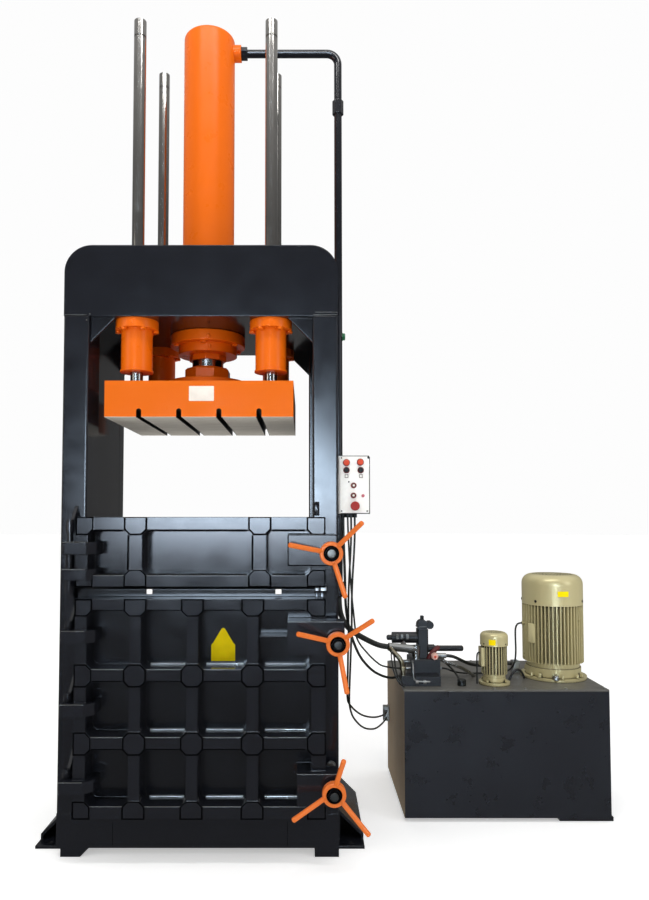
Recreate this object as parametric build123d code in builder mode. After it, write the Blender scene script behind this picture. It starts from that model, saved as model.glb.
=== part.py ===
from build123d import *
import math
import os

os.makedirs("parts", exist_ok=True)

# Recycling baler with its power pack. Millimetres, +Z up, +Y to the rear, +X to the
# right. The origin is on the floor, midway between the four anchor holes.

# Portal frame
frame_width = 1200.0
frame_depth = 750.0
frame_height = 2633.0
crown_height = 316.0
crown_corner = 120.0
crown_plate = 20.0
column_width = 110.0
rear_left_width = 76.0
rear_right_width = 123.0
rear_column_depth = 97.0
column_depth = 172.0
column_wall = 12.0
column_corner = 8.0
side_plate = 10.0
gusset_leg = 110.0
gusset_plate = 12.0
gusset_setback = 24.0
rear_gusset_setback = 5.0

# Base, floor of the chamber and side feet
foot_height = 37.0
foot_length = 84.0
foot_setback = 19.0
foot_depth = 120.0
skirt_height = 143.0
skirt_wall = 12.0
floor_plate = 15.0
side_foot_reach = 115.0
side_foot_height = 147.0
side_foot_length = 604.0
side_foot_cover = 474.0
side_foot_plate = 12.0
side_foot_roof = 28.8
side_foot_lip = 23.0
anchor_out = 60.0
anchor_inset = 32.0
anchor_hole = 22.0

# Planes and levels of the frame, which the other pieces are placed from
side = frame_width / 2
front = -frame_depth / 2
rear = frame_depth / 2
base_top = foot_height + skirt_height
crown_bottom = frame_height - crown_height
column_x = side - column_width / 2
front_column_y = front + column_depth / 2
inner_x = side - column_width
column_back = front + column_depth
rear_left_x = -side + rear_left_width
rear_right_x = side - rear_right_width
rear_span = rear_right_x - rear_left_x
rear_middle = (rear_left_x + rear_right_x) / 2
rear_column_front = rear - rear_column_depth
panel_x = side - rear_left_width
anchor_x = side + anchor_out
anchor_y = side_foot_length / 2 - anchor_inset

# Rear wall of the chamber
rear_wall_plate = 12.0
rear_wall_top = 1430.0
rear_gap_low = 1018.0
rear_gap_high = 1052.0
rear_rail = 50.0

# Running clearance on a radius, and the gap between faces that pass each other
fit = 0.05
face_gap = 1.0

# Cylinder and ram
cylinder_x = -20.0
cylinder_od = 250.0
cylinder_bore = 200.0
cylinder_above = 1187.0
cylinder_top = frame_height + cylinder_above
cylinder_cap = 40.0
cylinder_edge = 16.0
crown_hole_gap = 1.0
port_drop = 68.0
port_z = cylinder_top - port_drop
port_od = 78.0
port_reach = 33.0
head_flange_od = 362.0
head_flange_height = 52.0
gland_flange_od = 284.0
gland_flange_height = 42.0
gland_nut_flats = 166.0
gland_nut_height = 26.0
ram_d = 150.0
piston_height = 80.0
piston_gap = 10.0
clamp_flats = 208.0
clamp_height = 70.0
head_low = crown_bottom - head_flange_height
gland_low = head_low - gland_flange_height
ram_top = cylinder_top - cylinder_cap - piston_gap

# Pressing plate, at rest below the crown and clear of the columns and the doors; it
# hangs a little left of the middle
platen_drop = 441.0
platen_shift = -10.0
platen_column_gap = 75.0
platen_end_gap = 25.0
platen_height = 161.0
platen_width = 2 * (inner_x - platen_column_gap)
platen_depth = frame_depth - 2 * platen_end_gap
platen_bottom = crown_bottom - platen_drop
platen_top = platen_bottom + platen_height
boss_od = 395.0
boss_height = 52.0
boss_top = platen_top + boss_height
slot_pitch = 176.0
slot_width = 22.0
slot_depth = 38.0

# Guide rods, which stand on the plate, and the sleeves that they run in
rod_d = 56.0
rod_column_gap = 188.0
rod_end_inset = 75.0
rod_x = inner_x - rod_column_gap
rod_y = platen_depth / 2 - rod_end_inset
front_rod_length = 1680.0
rear_rod_length = 1783.0
front_rod_top = platen_top + front_rod_length
rear_rod_top = platen_top + rear_rod_length
rod_groove_drop = 80.0
rod_groove = 6.0
rod_chamfer = 5.0
rod_hole_gap = 7.0
rod_spots = [(-rod_x, -rod_y), (rod_x, -rod_y), (-rod_x, rod_y), (rod_x, rod_y)]
sleeve_flange_od = 190.0
sleeve_flange = 41.0
sleeve_od = 139.0
sleeve_length = 230.0
sleeve_bottom = crown_bottom - sleeve_length
sleeve_lip = 8.0
screw_flats = 24.0
screw_head = 10.0

# Doors, between insets from the sides of the frame
door_gap = 5.0
skin = 10.0
lattice_depth = 100.0
node_size = 94.0
node_chamfer = 22.0
node_proud = 4.0
pocket_corner = 30.0
door_left_inset = 104.0
door_right_inset = 59.0
skin_left_inset = 84.0
door_low_gap = 25.0
lower_door_height = 894.0
lip_step = 5.0
lip_height = 31.0
lip_notch = 26.0
lip_notch_left = 285.0
lip_notch_right = 199.0
door_step = 18.0
upper_door_height = 290.0
door_left = -side + door_left_inset
door_right = side - door_right_inset
skin_left = -side + skin_left_inset
lower_low = base_top + door_low_gap
lower_high = lower_low + lower_door_height
lip_low = lower_high + lip_step
lip_high = lower_high + lip_height
lip_notches = [door_left + lip_notch_left, door_right - lip_notch_right]
upper_low = lip_high + door_step
upper_high = upper_low + upper_door_height
skin_back = front - door_gap
skin_front = skin_back - skin
lattice_front = skin_front - lattice_depth

# Posts and rails of the two doors. The pockets share the width between the end posts in
# the proportions given here; the rails start at these heights above the foot of the door
left_post = 50.0
right_post = 60.0
upper_post = 56.0
upper_pockets = (170.0, 460.0, 185.0)
upper_low_rail = 48.0
upper_high_rail = 54.0
lower_post = 48.0
lower_pockets = (176.0, 189.0, 201.0, 217.0)
lower_rail = 50.0
lower_rail_second = 279.0
lower_rail_third = 555.0
lower_high_rail = 48.0
shelf_rise = 735.0
shelf_depth = 78.0
shelf_z = lower_low + shelf_rise


def posts(inner, pockets):
    """The end posts of a door, and inner ones of this width between its pockets."""
    free = door_right - door_left - left_post - right_post - inner * (len(pockets) - 1)
    edges = [(door_left, door_left + left_post)]
    for pocket in pockets[:-1]:
        start = edges[-1][1] + pocket * free / sum(pockets)
        edges.append((start, start + inner))
    edges.append((door_right - right_post, door_right))
    return edges


upper_ribs = posts(upper_post, upper_pockets)
lower_ribs = posts(lower_post, lower_pockets)
upper_rails = [
    (upper_low, upper_low + upper_low_rail),
    (upper_high - upper_high_rail, upper_high),
]
lower_rails = [
    (lower_low, lower_low + lower_rail),
    (lower_low + lower_rail_second, lower_low + lower_rail_second + lower_rail),
    (lower_low + lower_rail_third, lower_low + lower_rail_third + lower_rail),
    (lower_high - lower_high_rail, lower_high),
]

# Hinges
hinge_inset = 69.5
hinge_reach = 80.0
hinge_x = -side + hinge_inset
hinge_y = front - hinge_reach
pin_d = 25.0
barrel_od = 38.0
arm_left = hinge_x - barrel_od / 2
arm_front = hinge_y - 60.0
arm_back = hinge_y + 23.0
arm_edge = 34.0
arm_shoulder = door_left + left_post
arm_pocket = arm_shoulder + arm_edge
arm_corner = 14.0
upper_arms = [(upper_low + 29, upper_low + 74), (upper_low + 135, upper_low + 186)]
upper_barrel = (upper_low + 13, upper_low + 186)
lower_arms = [(lower_low + 107, lower_low + 155), (lower_low + 417, lower_low + 467)]
lower_arms.append((lower_low + 714, lower_low + 765))
ear_plate = 14.0
ear_tip = hinge_y + 14.0
ear_short = 25.0
top_ear = (upper_low + 223, upper_low + 272)
under_ear = 40.0
pin_head = 8.0
pin_head_lip = 1.4

# Locks: how far left and right of the column middle each arm reaches, its low and high
# edge above the foot of its door, and its wheel, right of the column middle and above
# that foot
lock_sizes = {
    "upper": (upper_low, -161.0, 41.0, 89.0, 219.0, 17.0, 143.0),
    "middle": (lower_low, -161.0, 73.0, 671.0, 805.0, 43.0, 723.0),
    "lower": (lower_low, -122.0, 51.0, 64.0, 193.0, 27.0, 131.0),
}
locks = {
    name: (column_x + left, column_x + right, foot + low, foot + high, column_x + x, foot + z)
    for name, (foot, left, right, low, high, x, z) in lock_sizes.items()
}
wheel_turn = {"upper": 47.0, "middle": 40.0, "lower": 79.0}
lock_reach = 150.0
lock_clear = 55.0
lock_front = front - lock_reach
lock_back = front - lock_clear
lock_wall = 15.0
cavity_gap = 2.0
boss_d = 48.0
boss_length = 18.0
spindle_d = 36.0
screw_d = 16.0
screw_gap = 10.0
screw_end = lock_back - screw_gap
journal_end = lock_front + lock_wall
hub_od = 95.0
hub_length = 38.0
hub_gap = 6.0
hub_recess = 64.0
hub_recess_depth = 8.0
bar_d = 20.0
bar_reach = 172.0
bar_rise = 112.0
bar_root = 30.0
nut_flats = 46.0
nut_height = 16.0
washer_od = 56.0
washer = 4.0
bolt_side = 28.0
bolt_gap = 0.3
bolt_length = 82.0
bolt_travel = 35.0
bolt_face = 12.0
tip_gap = 3.0
keeper_margin = 5.0
keeper_half = 28.0
keeper_inner = 18.0
keeper_slack = 1.5
keeper_depth = bolt_travel + keeper_margin

# Control box beside the right column; its buttons are placed from its left edge and
# its top edge
box_gap = 3.0
box_setback = 35.0
box_width = 138.0
box_depth = 80.0
box_low = 1452.0
box_height = 256.0
box_left = side + box_gap
box_front = front + box_setback
box_back = box_front + box_depth
box_high = box_low + box_height
box_corner = 6.0
cover_step = 3.0
cover_plate = 8.0
bracket_margin = 40.0
bracket_inset = 10.0
gland_d = 17.0
gland_drop = 14.0
gland_spots = [(box_left + x, (box_front + box_back) / 2) for x in (22.0, 42.0, 57.0, 73.0)]
button_gap = 0.1
button_sink = 22.0
button_slack = 3.0
bezel_wall = 3.0
bezel_height = 5.0
push_travel = 4.0
red_d = 25.0
red_proud = 13.0
red_spots = {
    "left": (box_left + 34.5, box_high - 32.0),
    "right": (box_left + 95.5, box_high - 30.0),
}
selector_d = 22.0
selector_proud = 10.0
selector_grip = 12.0
selector_spots = {
    "left": (box_left + 34.5, box_high - 65.0),
    "right": (box_left + 97.0, box_high - 65.0),
}
ring_d = 16.0
ring_bezel = 4.5
ring_proud = 8.0
ring_spots = {
    "upper": (box_left + 66.0, box_high - 132.0),
    "lower": (box_left + 65.0, box_high - 176.0),
}
lamp_d = 14.0
lamp_proud = 6.0
lamp_spot = (box_left + 107.0, box_high - 177.0)
stop_d = 40.0
stop_stem = 20.0
stop_cap = 12.0
stop_stand = 9.0
stop_spot = (box_left + 71.5, box_high - 222.0)

# Oil tank beside the press
tank_gap = 327.0
tank_setback = 335.0
tank_width = 975.0
tank_depth = 680.0
tank_low = 20.0
tank_height = 598.0
tank_left = side + tank_gap
tank_front = front + tank_setback
tank_high = tank_low + tank_height
tank_wall = 5.0
tank_lid_plate = 8.0
rail_width = 255.0
rail_over = 15.0
rail_setback = 60.0

# Motors on the tank: places from its left and front walls, heights from its lid
large_inset = 164.0
large_setback = 292.0
large_x = tank_left + tank_width - large_inset
large_y = tank_front + large_setback
large_flange = 326.0
large_shield = 272.0
large_body = 260.0
large_fin = 22.0
large_fin_count = 50
large_cover = 301.0
large_body_height = 373.0
large_cover_height = 153.0
large_cover_edge = 48.0
large_neck = 44.0
small_inset = 462.0
small_setback = 124.0
small_x = tank_left + small_inset
small_y = tank_front + small_setback
small_flange = 150.0
small_shield = 108.0
small_body = 106.0
small_fin = 11.0
small_fin_count = 26
small_cover = 134.0
small_body_height = 190.0
small_cover_height = 64.0
small_cover_edge = 22.0
small_neck = 24.0
large_cover_low = tank_high + large_body_height
large_top = large_cover_low + large_cover_height
small_cover_low = tank_high + small_body_height
small_top = small_cover_low + small_cover_height
flange_plate = 14.0
fin_thickness = 5.0
terminal_depth = 60.0
terminal_height = 90.0
terminal_rise = 90.0
terminal_proud = 17.0
motor_gland_reach = 28.0
motor_gland_rise = 272.0
motor_gland_x = large_x - large_body / 2 - motor_gland_reach
motor_gland_z = tank_high + motor_gland_rise
motor_gland_d = 20.0

# Valve block with a lower step in front, and the valve on it
block_left = tank_left + 57.0
block_front = tank_front + 156.0
block_width = 146.0
block_depth = 150.0
block_height = 110.0
block_right = block_left + block_width
valve_low = tank_high + block_height
step_left = tank_left - 2.0
step_front = tank_front + 70.0
step_width = 190.0
step_height = 46.0
valve_x = block_left + 68.0
valve_y = block_front + 74.0
valve_body = 54.0
valve_height = 142.0
valve_head_d = 54.0
valve_head_rise = 20.0
knob_d = 19.0
knob_rise = 46.0
side_knob_d = 40.0
side_knob_out = 37.0
side_knob_length = 44.0
solenoid_d = 56.0
solenoid_rise = 98.0
solenoid_length = 76.0
solenoid_taper = 28.0
lever_d = 27.0
lever_length = 50.0
plug_d = 29.0
plug_length = 182.0
plug_rise = 43.0
plug_collar_d = 40.0
plug_collar = 34.0
cap_x = tank_left + 293.0
cap_y = tank_front + 88.0
cap_d = 42.0
cap_height = 30.0

# Steel pressure pipe outside the right column
pipe_d = 38.0
pipe_gap = 20.0
pipe_x = side + pipe_gap
pipe_low = 1105.0
pipe_tail = 50.0
pipe_bend = 55.0
pipe_nut = 52.0
pipe_nut_length = 30.0
coupling_drop = 313.0
coupling_z = port_z - coupling_drop
coupling_d = 44.0
coupling_length = 70.0

# Where the hoses and cables end, placed from the block, the lid and the motor
main_end = (block_left - 112, block_front + 2, valve_low + 64)
elbow = (block_left + 28, block_front + 24, valve_low + 47)
main_fitting_d = 40.0
thin_end = (block_left - 34, block_front + 12, tank_high + 66)
thin_fitting_d = 14.0
pilot_end = (block_left - 29, block_front + 44, tank_high + 72)
pilot_fitting_d = 20.0
motor_hose_fitting_d = 26.0
fitting_collar = 2.0
fitting_gap = 0.3
motor_hose_z = valve_low + motor_hose_fitting_d / 2 + fitting_gap
motor_hose_start = (block_right + 35, block_front + 37, motor_hose_z)
motor_hose_end = (large_x - 192, large_y + 78, tank_high + 47)
motor_cable_end = (block_right + 30, block_front + 129, tank_high + 42)
motor_cable_fitting_d = 18.0
lid_fitting = 36.0
junction_inset = 80.0
junction_y = tank_front + tank_depth - junction_inset
junction_z = tank_low + 320.0
junction_side = 40.0
junction_depth = 32.0

# Hoses and cables: their sizes, and the points of their routes
cords = {
    "main_hose": (27.0, [
        (620, 0, 1055), (621, 0, 1003), (632, 4, 956), (654, 13, 914), (688, 31, 880), (730, 58, 852),
        (768, 83, 829), (803, 101, 810), (838, 113, 796), main_end,
    ]),
    "pilot_cable": (12.0, [
        (625, -300, 1438), (625, -299, 1370), (630, -290, 1260), (634, -278, 1150), (636, -270, 1050),
        (645, -256, 978), (662, -230, 911), (686, -180, 845), (713, -120, 787), (747, -60, 739),
        (785, 0, 696), (821, 40, 670), (857, 80, 650), (888, 108, 640), (920, 134, 640), (944, 153, 649),
        (955, 160, 668), pilot_end,
    ]),
    "valve_cable": (8.0, [
        (645, -300, 1438), (646, -300, 1385), (650, -306, 1290), (655, -309, 1185), (662, -308, 1085),
        (671, -302, 1005), (677, -276, 955), (686, -230, 898), (711, -158, 849), (742, -84, 807),
        (773, -16, 766), (806, 45, 730), (833, 92, 704), (868, 112, 693), (900, 123, 686), (925, 128, 684),
        thin_end,
    ]),
    "tank_cable_upper": (9.0, [
        (660, -300, 1438), (661, -300, 1380), (658, -297, 1280), (651, -291, 1170), (648, -281, 1060),
        (650, -268, 945), (648, -252, 840), (648, -228, 735), (647, -203, 668), (649, -170, 601),
        (665, -110, 565), (687, -40, 527), (713, 40, 489), (741, 120, 454), (777, 210, 421),
        (812, 290, 396), (844, 370, 376), (873, 440, 363), (896, 497, 357), (908, 530, 356),
        (911, 560, 356),
    ]),
    "tank_cable_lower": (9.0, [
        (676, -300, 1438), (677, -301, 1380), (673, -304, 1285), (666, -302, 1180), (662, -294, 1070),
        (663, -285, 960), (660, -268, 855), (658, -243, 755), (656, -214, 660), (658, -165, 584),
        (668, -110, 538), (682, -50, 494), (704, 20, 452), (728, 95, 411), (759, 180, 372),
        (792, 270, 341), (824, 340, 322), (852, 410, 313), (874, 460, 313), (894, 505, 316),
        (907, 533, 320), (909, 560, 322),
    ]),
    "motor_hose": (16.0, [
        motor_hose_start, (1193, 153, 740), (1227, 164, 725), (1264, 190, 704), (1303, 225, 684),
        (1350, 262, 670), (1407, 301, 662), (1463, 325, 662), (1512, 330, 665), motor_hose_end,
    ]),
    "motor_cable": (9.0, [
        (motor_gland_x, large_y, motor_gland_z), (1562, 252, 889), (1550, 252, 876), (1545, 252, 852),
        (1546, 252, 800), (1548, 254, 745), (1546, 262, 692), (1534, 275, 655), (1508, 288, 633),
        (1465, 297, 626), (1380, 292, 624), (1290, 272, 626), (1218, 250, 641), (1186, 245, 658),
        motor_cable_end,
    ]),
}


def upright(y):
    """A drawing plane at this y whose first axis is +X and second axis is +Z."""
    return Plane(origin=(0, y, 0), x_dir=(1, 0, 0), z_dir=(0, -1, 0))


def lengthwise(x):
    """A drawing plane at this x whose first axis is +Y and second axis is +Z."""
    return Plane(origin=(x, 0, 0), x_dir=(0, 1, 0), z_dir=(1, 0, 0))


def save(piece, name):
    """Label a finished piece and write it."""
    piece.part.label = name
    export_step(piece.part, f"parts/{name}.step")


# The two front columns, box sections from the base to the crown
with BuildPart() as front_columns:
    with BuildSketch(Plane.XY.offset(base_top)):
        with Locations((-column_x, front_column_y), (column_x, front_column_y)):
            RectangleRounded(column_width, column_depth, column_corner)
            Rectangle(column_width - 2 * column_wall, column_depth - 2 * column_wall, mode=Mode.SUBTRACT)
    extrude(amount=crown_bottom - base_top)
save(front_columns, "front_columns")

# The two rear columns, which are less deep; the right one reaches further inwards
with BuildPart() as rear_columns:
    with BuildSketch(Plane.XY.offset(base_top)):
        for (outer, inner) in ((-side, rear_left_x), (side, rear_right_x)):
            width = abs(outer - inner)
            with Locations(((outer + inner) / 2, (rear_column_front + rear) / 2)):
                RectangleRounded(width, rear_column_depth, column_corner)
                Rectangle(width - 2 * column_wall, rear_column_depth - 2 * column_wall, mode=Mode.SUBTRACT)
    extrude(amount=crown_bottom - base_top)
save(rear_columns, "rear_columns")

# Side plates that close the chamber between the columns
with BuildPart() as side_panels:
    with BuildSketch(Plane.XY.offset(base_top)):
        for hand in (-1, 1):
            with Locations((hand * (panel_x + side_plate / 2), (column_back + rear_column_front) / 2)):
                Rectangle(side_plate, rear_column_front - column_back)
    extrude(amount=crown_bottom - base_top)
save(side_panels, "side_panels")

# Rear wall: two plates with a slot between them, stiffened by flat rails
with BuildPart() as rear_wall:
    with BuildSketch(upright(rear)):
        with Locations((rear_middle, (base_top + rear_gap_low) / 2)):
            Rectangle(rear_span, rear_gap_low - base_top)
        with Locations((rear_middle, (rear_gap_high + rear_wall_top) / 2)):
            Rectangle(rear_span, rear_wall_top - rear_gap_high)
    extrude(amount=rear_wall_plate)
    with BuildSketch(upright(rear)):
        for level in (base_top + rear_rail, (base_top + rear_gap_low) / 2, rear_gap_low - rear_rail):
            with Locations((rear_middle, level)):
                Rectangle(rear_span, rear_rail)
        for level in (rear_gap_high + rear_rail, rear_wall_top - rear_rail):
            with Locations((rear_middle, level)):
                Rectangle(rear_span, rear_rail)
    extrude(amount=-rear_rail)
save(rear_wall, "rear_wall")

# Crown: a hollow welded beam with rounded top corners, bored for the cylinder and the
# rods, with corner gussets under its front and rear
with BuildPart() as crown:
    with BuildSketch(upright(rear)):
        with Locations((0, crown_bottom + crown_height / 2)):
            Rectangle(frame_width, crown_height)
    extrude(amount=frame_depth)
    top_corners = crown.edges().filter_by(Axis.Y).group_by(Axis.Z)[-1]
    fillet(top_corners, crown_corner)
    with BuildSketch(upright(rear - crown_plate)):
        with Locations((0, crown_bottom + crown_height / 2)):
            Rectangle(frame_width - 2 * crown_plate, crown_height - 2 * crown_plate)
        fillet(vertices().group_by(Axis.Z)[-1], crown_corner - crown_plate)
    extrude(amount=frame_depth - 2 * crown_plate, mode=Mode.SUBTRACT)
    with BuildSketch(Plane.XY.offset(crown_bottom)):
        with Locations((cylinder_x, 0)):
            Circle(cylinder_od / 2 + crown_hole_gap)
        with Locations(*rod_spots):
            Circle(rod_d / 2 + rod_hole_gap)
    extrude(amount=crown_height, mode=Mode.SUBTRACT)
    gussets = [
        (front + gusset_setback + gusset_plate, -inner_x, inner_x),
        (rear - rear_gusset_setback, rear_left_x, rear_right_x),
    ]
    for (face_y, left, right) in gussets:
        with BuildSketch(upright(face_y)):
            for (corner_x, inward) in ((left, gusset_leg), (right, -gusset_leg)):
                with BuildLine():
                    Polyline(
                        (corner_x, crown_bottom),
                        (corner_x + inward, crown_bottom),
                        (corner_x, crown_bottom - gusset_leg),
                        close=True,
                    )
                make_face()
        extrude(amount=gusset_plate)
save(crown, "crown")

# Base: a ring of skirt plates on four short feet, the front left one chamfered
with BuildPart() as base:
    with BuildSketch(Plane.XY.offset(foot_height)):
        Rectangle(frame_width, frame_depth)
        Rectangle(frame_width - 2 * skirt_wall, frame_depth - 2 * skirt_wall, mode=Mode.SUBTRACT)
    extrude(amount=skirt_height)
    for foot_y in (front + foot_depth, rear):
        with BuildSketch(upright(foot_y)):
            with BuildLine():
                Polyline(
                    (-side + foot_setback, 0),
                    (-side + foot_setback + foot_length, 0),
                    (-side + foot_setback + foot_length + foot_height, foot_height),
                    (-side + foot_setback, foot_height),
                    close=True,
                )
            make_face()
            with Locations((side - foot_setback / 2 - foot_length / 2, foot_height / 2)):
                Rectangle(foot_length + foot_setback, foot_height)
        extrude(amount=foot_depth)
save(base, "base")

# Floor plate of the chamber, on the skirt and between the columns and side panels
with BuildPart() as chamber_floor:
    with BuildSketch(Plane.XY.offset(base_top)):
        with Locations((0, front_column_y)):
            Rectangle(2 * inner_x, column_depth)
        with Locations((0, (column_back + rear_column_front) / 2)):
            Rectangle(2 * panel_x, rear_column_front - column_back)
        with Locations((rear_middle, (rear_column_front + rear - rear_wall_plate) / 2)):
            Rectangle(rear_span, rear_column_depth - rear_wall_plate)
    extrude(amount=floor_plate)
save(chamber_floor, "chamber_floor")

# Side feet: a ground plate with a sloped cover welded against each side of the base
with BuildPart() as side_feet:
    with BuildSketch(upright(side_foot_length / 2)):
        for hand in (-1, 1):
            with Locations((hand * (side + side_foot_reach / 2), side_foot_plate / 2)):
                Rectangle(side_foot_reach, side_foot_plate)
    extrude(amount=side_foot_length)
    with BuildSketch(upright(side_foot_cover / 2)):
        for hand in (-1, 1):
            with BuildLine():
                Polyline(
                    (hand * side, 0),
                    (hand * (side + side_foot_reach), 0),
                    (hand * (side + side_foot_reach), side_foot_lip + side_foot_plate),
                    (hand * side, side_foot_height),
                    close=True,
                )
            make_face()
            with BuildLine():
                Polyline(
                    (hand * (side + side_foot_plate), side_foot_plate),
                    (hand * (side + side_foot_reach - side_foot_plate), side_foot_plate),
                    (hand * (side + side_foot_reach - side_foot_plate), side_foot_lip + side_foot_plate / 2),
                    (hand * (side + side_foot_plate), side_foot_height - side_foot_roof),
                    close=True,
                )
            make_face(mode=Mode.SUBTRACT)
    extrude(amount=side_foot_cover)
    with BuildSketch(Plane.XY):
        with GridLocations(2 * anchor_x, 2 * anchor_y, 2, 2):
            Circle(anchor_hole / 2)
    extrude(amount=side_foot_plate, mode=Mode.SUBTRACT)
save(side_feet, "side_feet")

# Cylinder barrel: a tube closed at its flat top, with a side port for the pipe
with BuildPart() as cylinder_barrel:
    with BuildSketch(Plane.XY.offset(crown_bottom)):
        with Locations((cylinder_x, 0)):
            Circle(cylinder_od / 2)
    extrude(amount=cylinder_top - crown_bottom)
    fillet(cylinder_barrel.edges().group_by(Axis.Z)[-1], cylinder_edge)
    with BuildSketch(lengthwise(cylinder_x)):
        with Locations((0, port_z)):
            Circle(port_od / 2)
    extrude(amount=cylinder_od / 2 + port_reach)
    with BuildSketch(Plane.XY.offset(crown_bottom)):
        with Locations((cylinder_x, 0)):
            Circle(cylinder_bore / 2)
    extrude(amount=cylinder_top - cylinder_cap - crown_bottom, mode=Mode.SUBTRACT)
save(cylinder_barrel, "cylinder_barrel")

# Cylinder flanges under the crown: the wide one carries the barrel, the second one
# guides the ram
with BuildPart() as cylinder_flanges:
    with BuildSketch(Plane.XY.offset(head_low)):
        with Locations((cylinder_x, 0)):
            Circle(head_flange_od / 2)
            Circle(cylinder_bore / 2, mode=Mode.SUBTRACT)
    extrude(amount=head_flange_height)
    with BuildSketch(Plane.XY.offset(gland_low)):
        with Locations((cylinder_x, 0)):
            Circle(gland_flange_od / 2)
            Circle(ram_d / 2 + fit, mode=Mode.SUBTRACT)
    extrude(amount=gland_flange_height)
    chamfer(cylinder_flanges.edges().filter_by(GeomType.CIRCLE).sort_by(SortBy.RADIUS)[-2:], 3)
save(cylinder_flanges, "cylinder_flanges")

# Gland nut around the ram
with BuildPart() as gland_nut:
    with BuildSketch(Plane.XY.offset(gland_low - gland_nut_height)):
        with Locations((cylinder_x, 0)):
            RegularPolygon(gland_nut_flats / 2, 8, major_radius=False)
            Circle(ram_d / 2 + fit, mode=Mode.SUBTRACT)
    extrude(amount=gland_nut_height)
save(gland_nut, "gland_nut")

# Guide sleeves bolted under the crown around each rod
with BuildPart() as guide_sleeves:
    with BuildSketch(Plane.XY.offset(sleeve_bottom)):
        with Locations(*rod_spots):
            Circle(sleeve_od / 2)
            Circle(rod_d / 2 + fit, mode=Mode.SUBTRACT)
    extrude(amount=crown_bottom - sleeve_bottom)
    with BuildSketch(Plane.XY.offset(crown_bottom - sleeve_flange)):
        with Locations(*rod_spots):
            Circle(sleeve_flange_od / 2)
            Circle(sleeve_od / 2, mode=Mode.SUBTRACT)
    extrude(amount=sleeve_flange)
    with BuildSketch(Plane.XY.offset(sleeve_bottom)):
        with Locations(*rod_spots):
            Circle(sleeve_od / 2 + sleeve_lip / 2)
            Circle(sleeve_od / 2, mode=Mode.SUBTRACT)
    extrude(amount=sleeve_lip)
save(guide_sleeves, "guide_sleeves")

# Hexagon screw heads on the sleeve flanges and on the cylinder flanges
with BuildPart() as cap_screws:
    with BuildSketch(Plane.XY.offset(crown_bottom - sleeve_flange - screw_head)):
        for spot in rod_spots:
            with Locations(spot):
                with PolarLocations((sleeve_flange_od + sleeve_od) / 4 + 2, 6):
                    RegularPolygon(screw_flats / 2, 6, major_radius=False)
    extrude(amount=screw_head)
    with BuildSketch(Plane.XY.offset(head_low - screw_head)):
        with Locations((cylinder_x, 0)):
            with PolarLocations((head_flange_od + gland_flange_od) / 4, 6, start_angle=30):
                RegularPolygon(screw_flats / 2, 6, major_radius=False)
    extrude(amount=screw_head)
save(cap_screws, "cap_screws")

# Ram with its piston inside the barrel
with BuildPart() as ram:
    with BuildSketch(Plane.XY.offset(boss_top)):
        with Locations((cylinder_x, 0)):
            Circle(ram_d / 2)
    extrude(amount=ram_top - boss_top)
    with BuildSketch(Plane.XY.offset(ram_top - piston_height)):
        with Locations((cylinder_x, 0)):
            Circle(cylinder_bore / 2 - fit)
    extrude(amount=piston_height)
save(ram, "ram")

# Eight-sided clamp that holds the ram on the pressing plate
with BuildPart() as ram_clamp:
    with BuildSketch(Plane.XY.offset(boss_top)):
        with Locations((cylinder_x, 0)):
            RegularPolygon(clamp_flats / 2, 8, major_radius=False, rotation=22.5)
            Circle(ram_d / 2 + fit, mode=Mode.SUBTRACT)
    extrude(amount=clamp_height)
    chamfer(ram_clamp.faces().sort_by(Axis.Z)[-1].outer_wire().edges(), 10)
save(ram_clamp, "ram_clamp")

# Pressing plate with its round boss and the strap slots in its underside
with BuildPart() as platen:
    with BuildSketch(Plane.XY.offset(platen_bottom)):
        with Locations((platen_shift, 0)):
            Rectangle(platen_width, platen_depth)
    extrude(amount=platen_height)
    with BuildSketch(Plane.XY.offset(platen_top)):
        with Locations((cylinder_x, 0)):
            Circle(boss_od / 2)
    extrude(amount=boss_height)
    chamfer(platen.edges().group_by(Axis.Z)[-1], 4)
    with BuildSketch(upright(platen_depth / 2)):
        with Locations((platen_shift, platen_bottom)):
            with GridLocations(slot_pitch, 0, 4, 1):
                SlotOverall(2 * slot_depth, slot_width, rotation=90)
    extrude(amount=platen_depth, mode=Mode.SUBTRACT)
save(platen, "platen")

# Chrome guide rods, standing on the pressing plate; the rear pair is longer
with BuildPart() as guide_rods:
    for (x, y) in rod_spots:
        rod_top = front_rod_top if y < 0 else rear_rod_top
        with BuildSketch(Plane.XY.offset(platen_top)):
            with Locations((x, y)):
                Circle(rod_d / 2)
        extrude(amount=rod_top - platen_top)
        with BuildSketch(Plane.XY.offset(rod_top - rod_groove_drop)):
            with Locations((x, y)):
                Circle(rod_d / 2)
                Circle(rod_d / 2 - rod_groove / 2, mode=Mode.SUBTRACT)
        extrude(amount=rod_groove, mode=Mode.SUBTRACT)
    rims = guide_rods.faces().filter_by(Axis.Z).filter_by(lambda f: f.area > math.pi * rod_d**2 / 4.1)
    chamfer([face.edges() for face in rims if face.center().Z > front_rod_top - 1][0], rod_chamfer)
save(guide_rods, "guide_rods")


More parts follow.
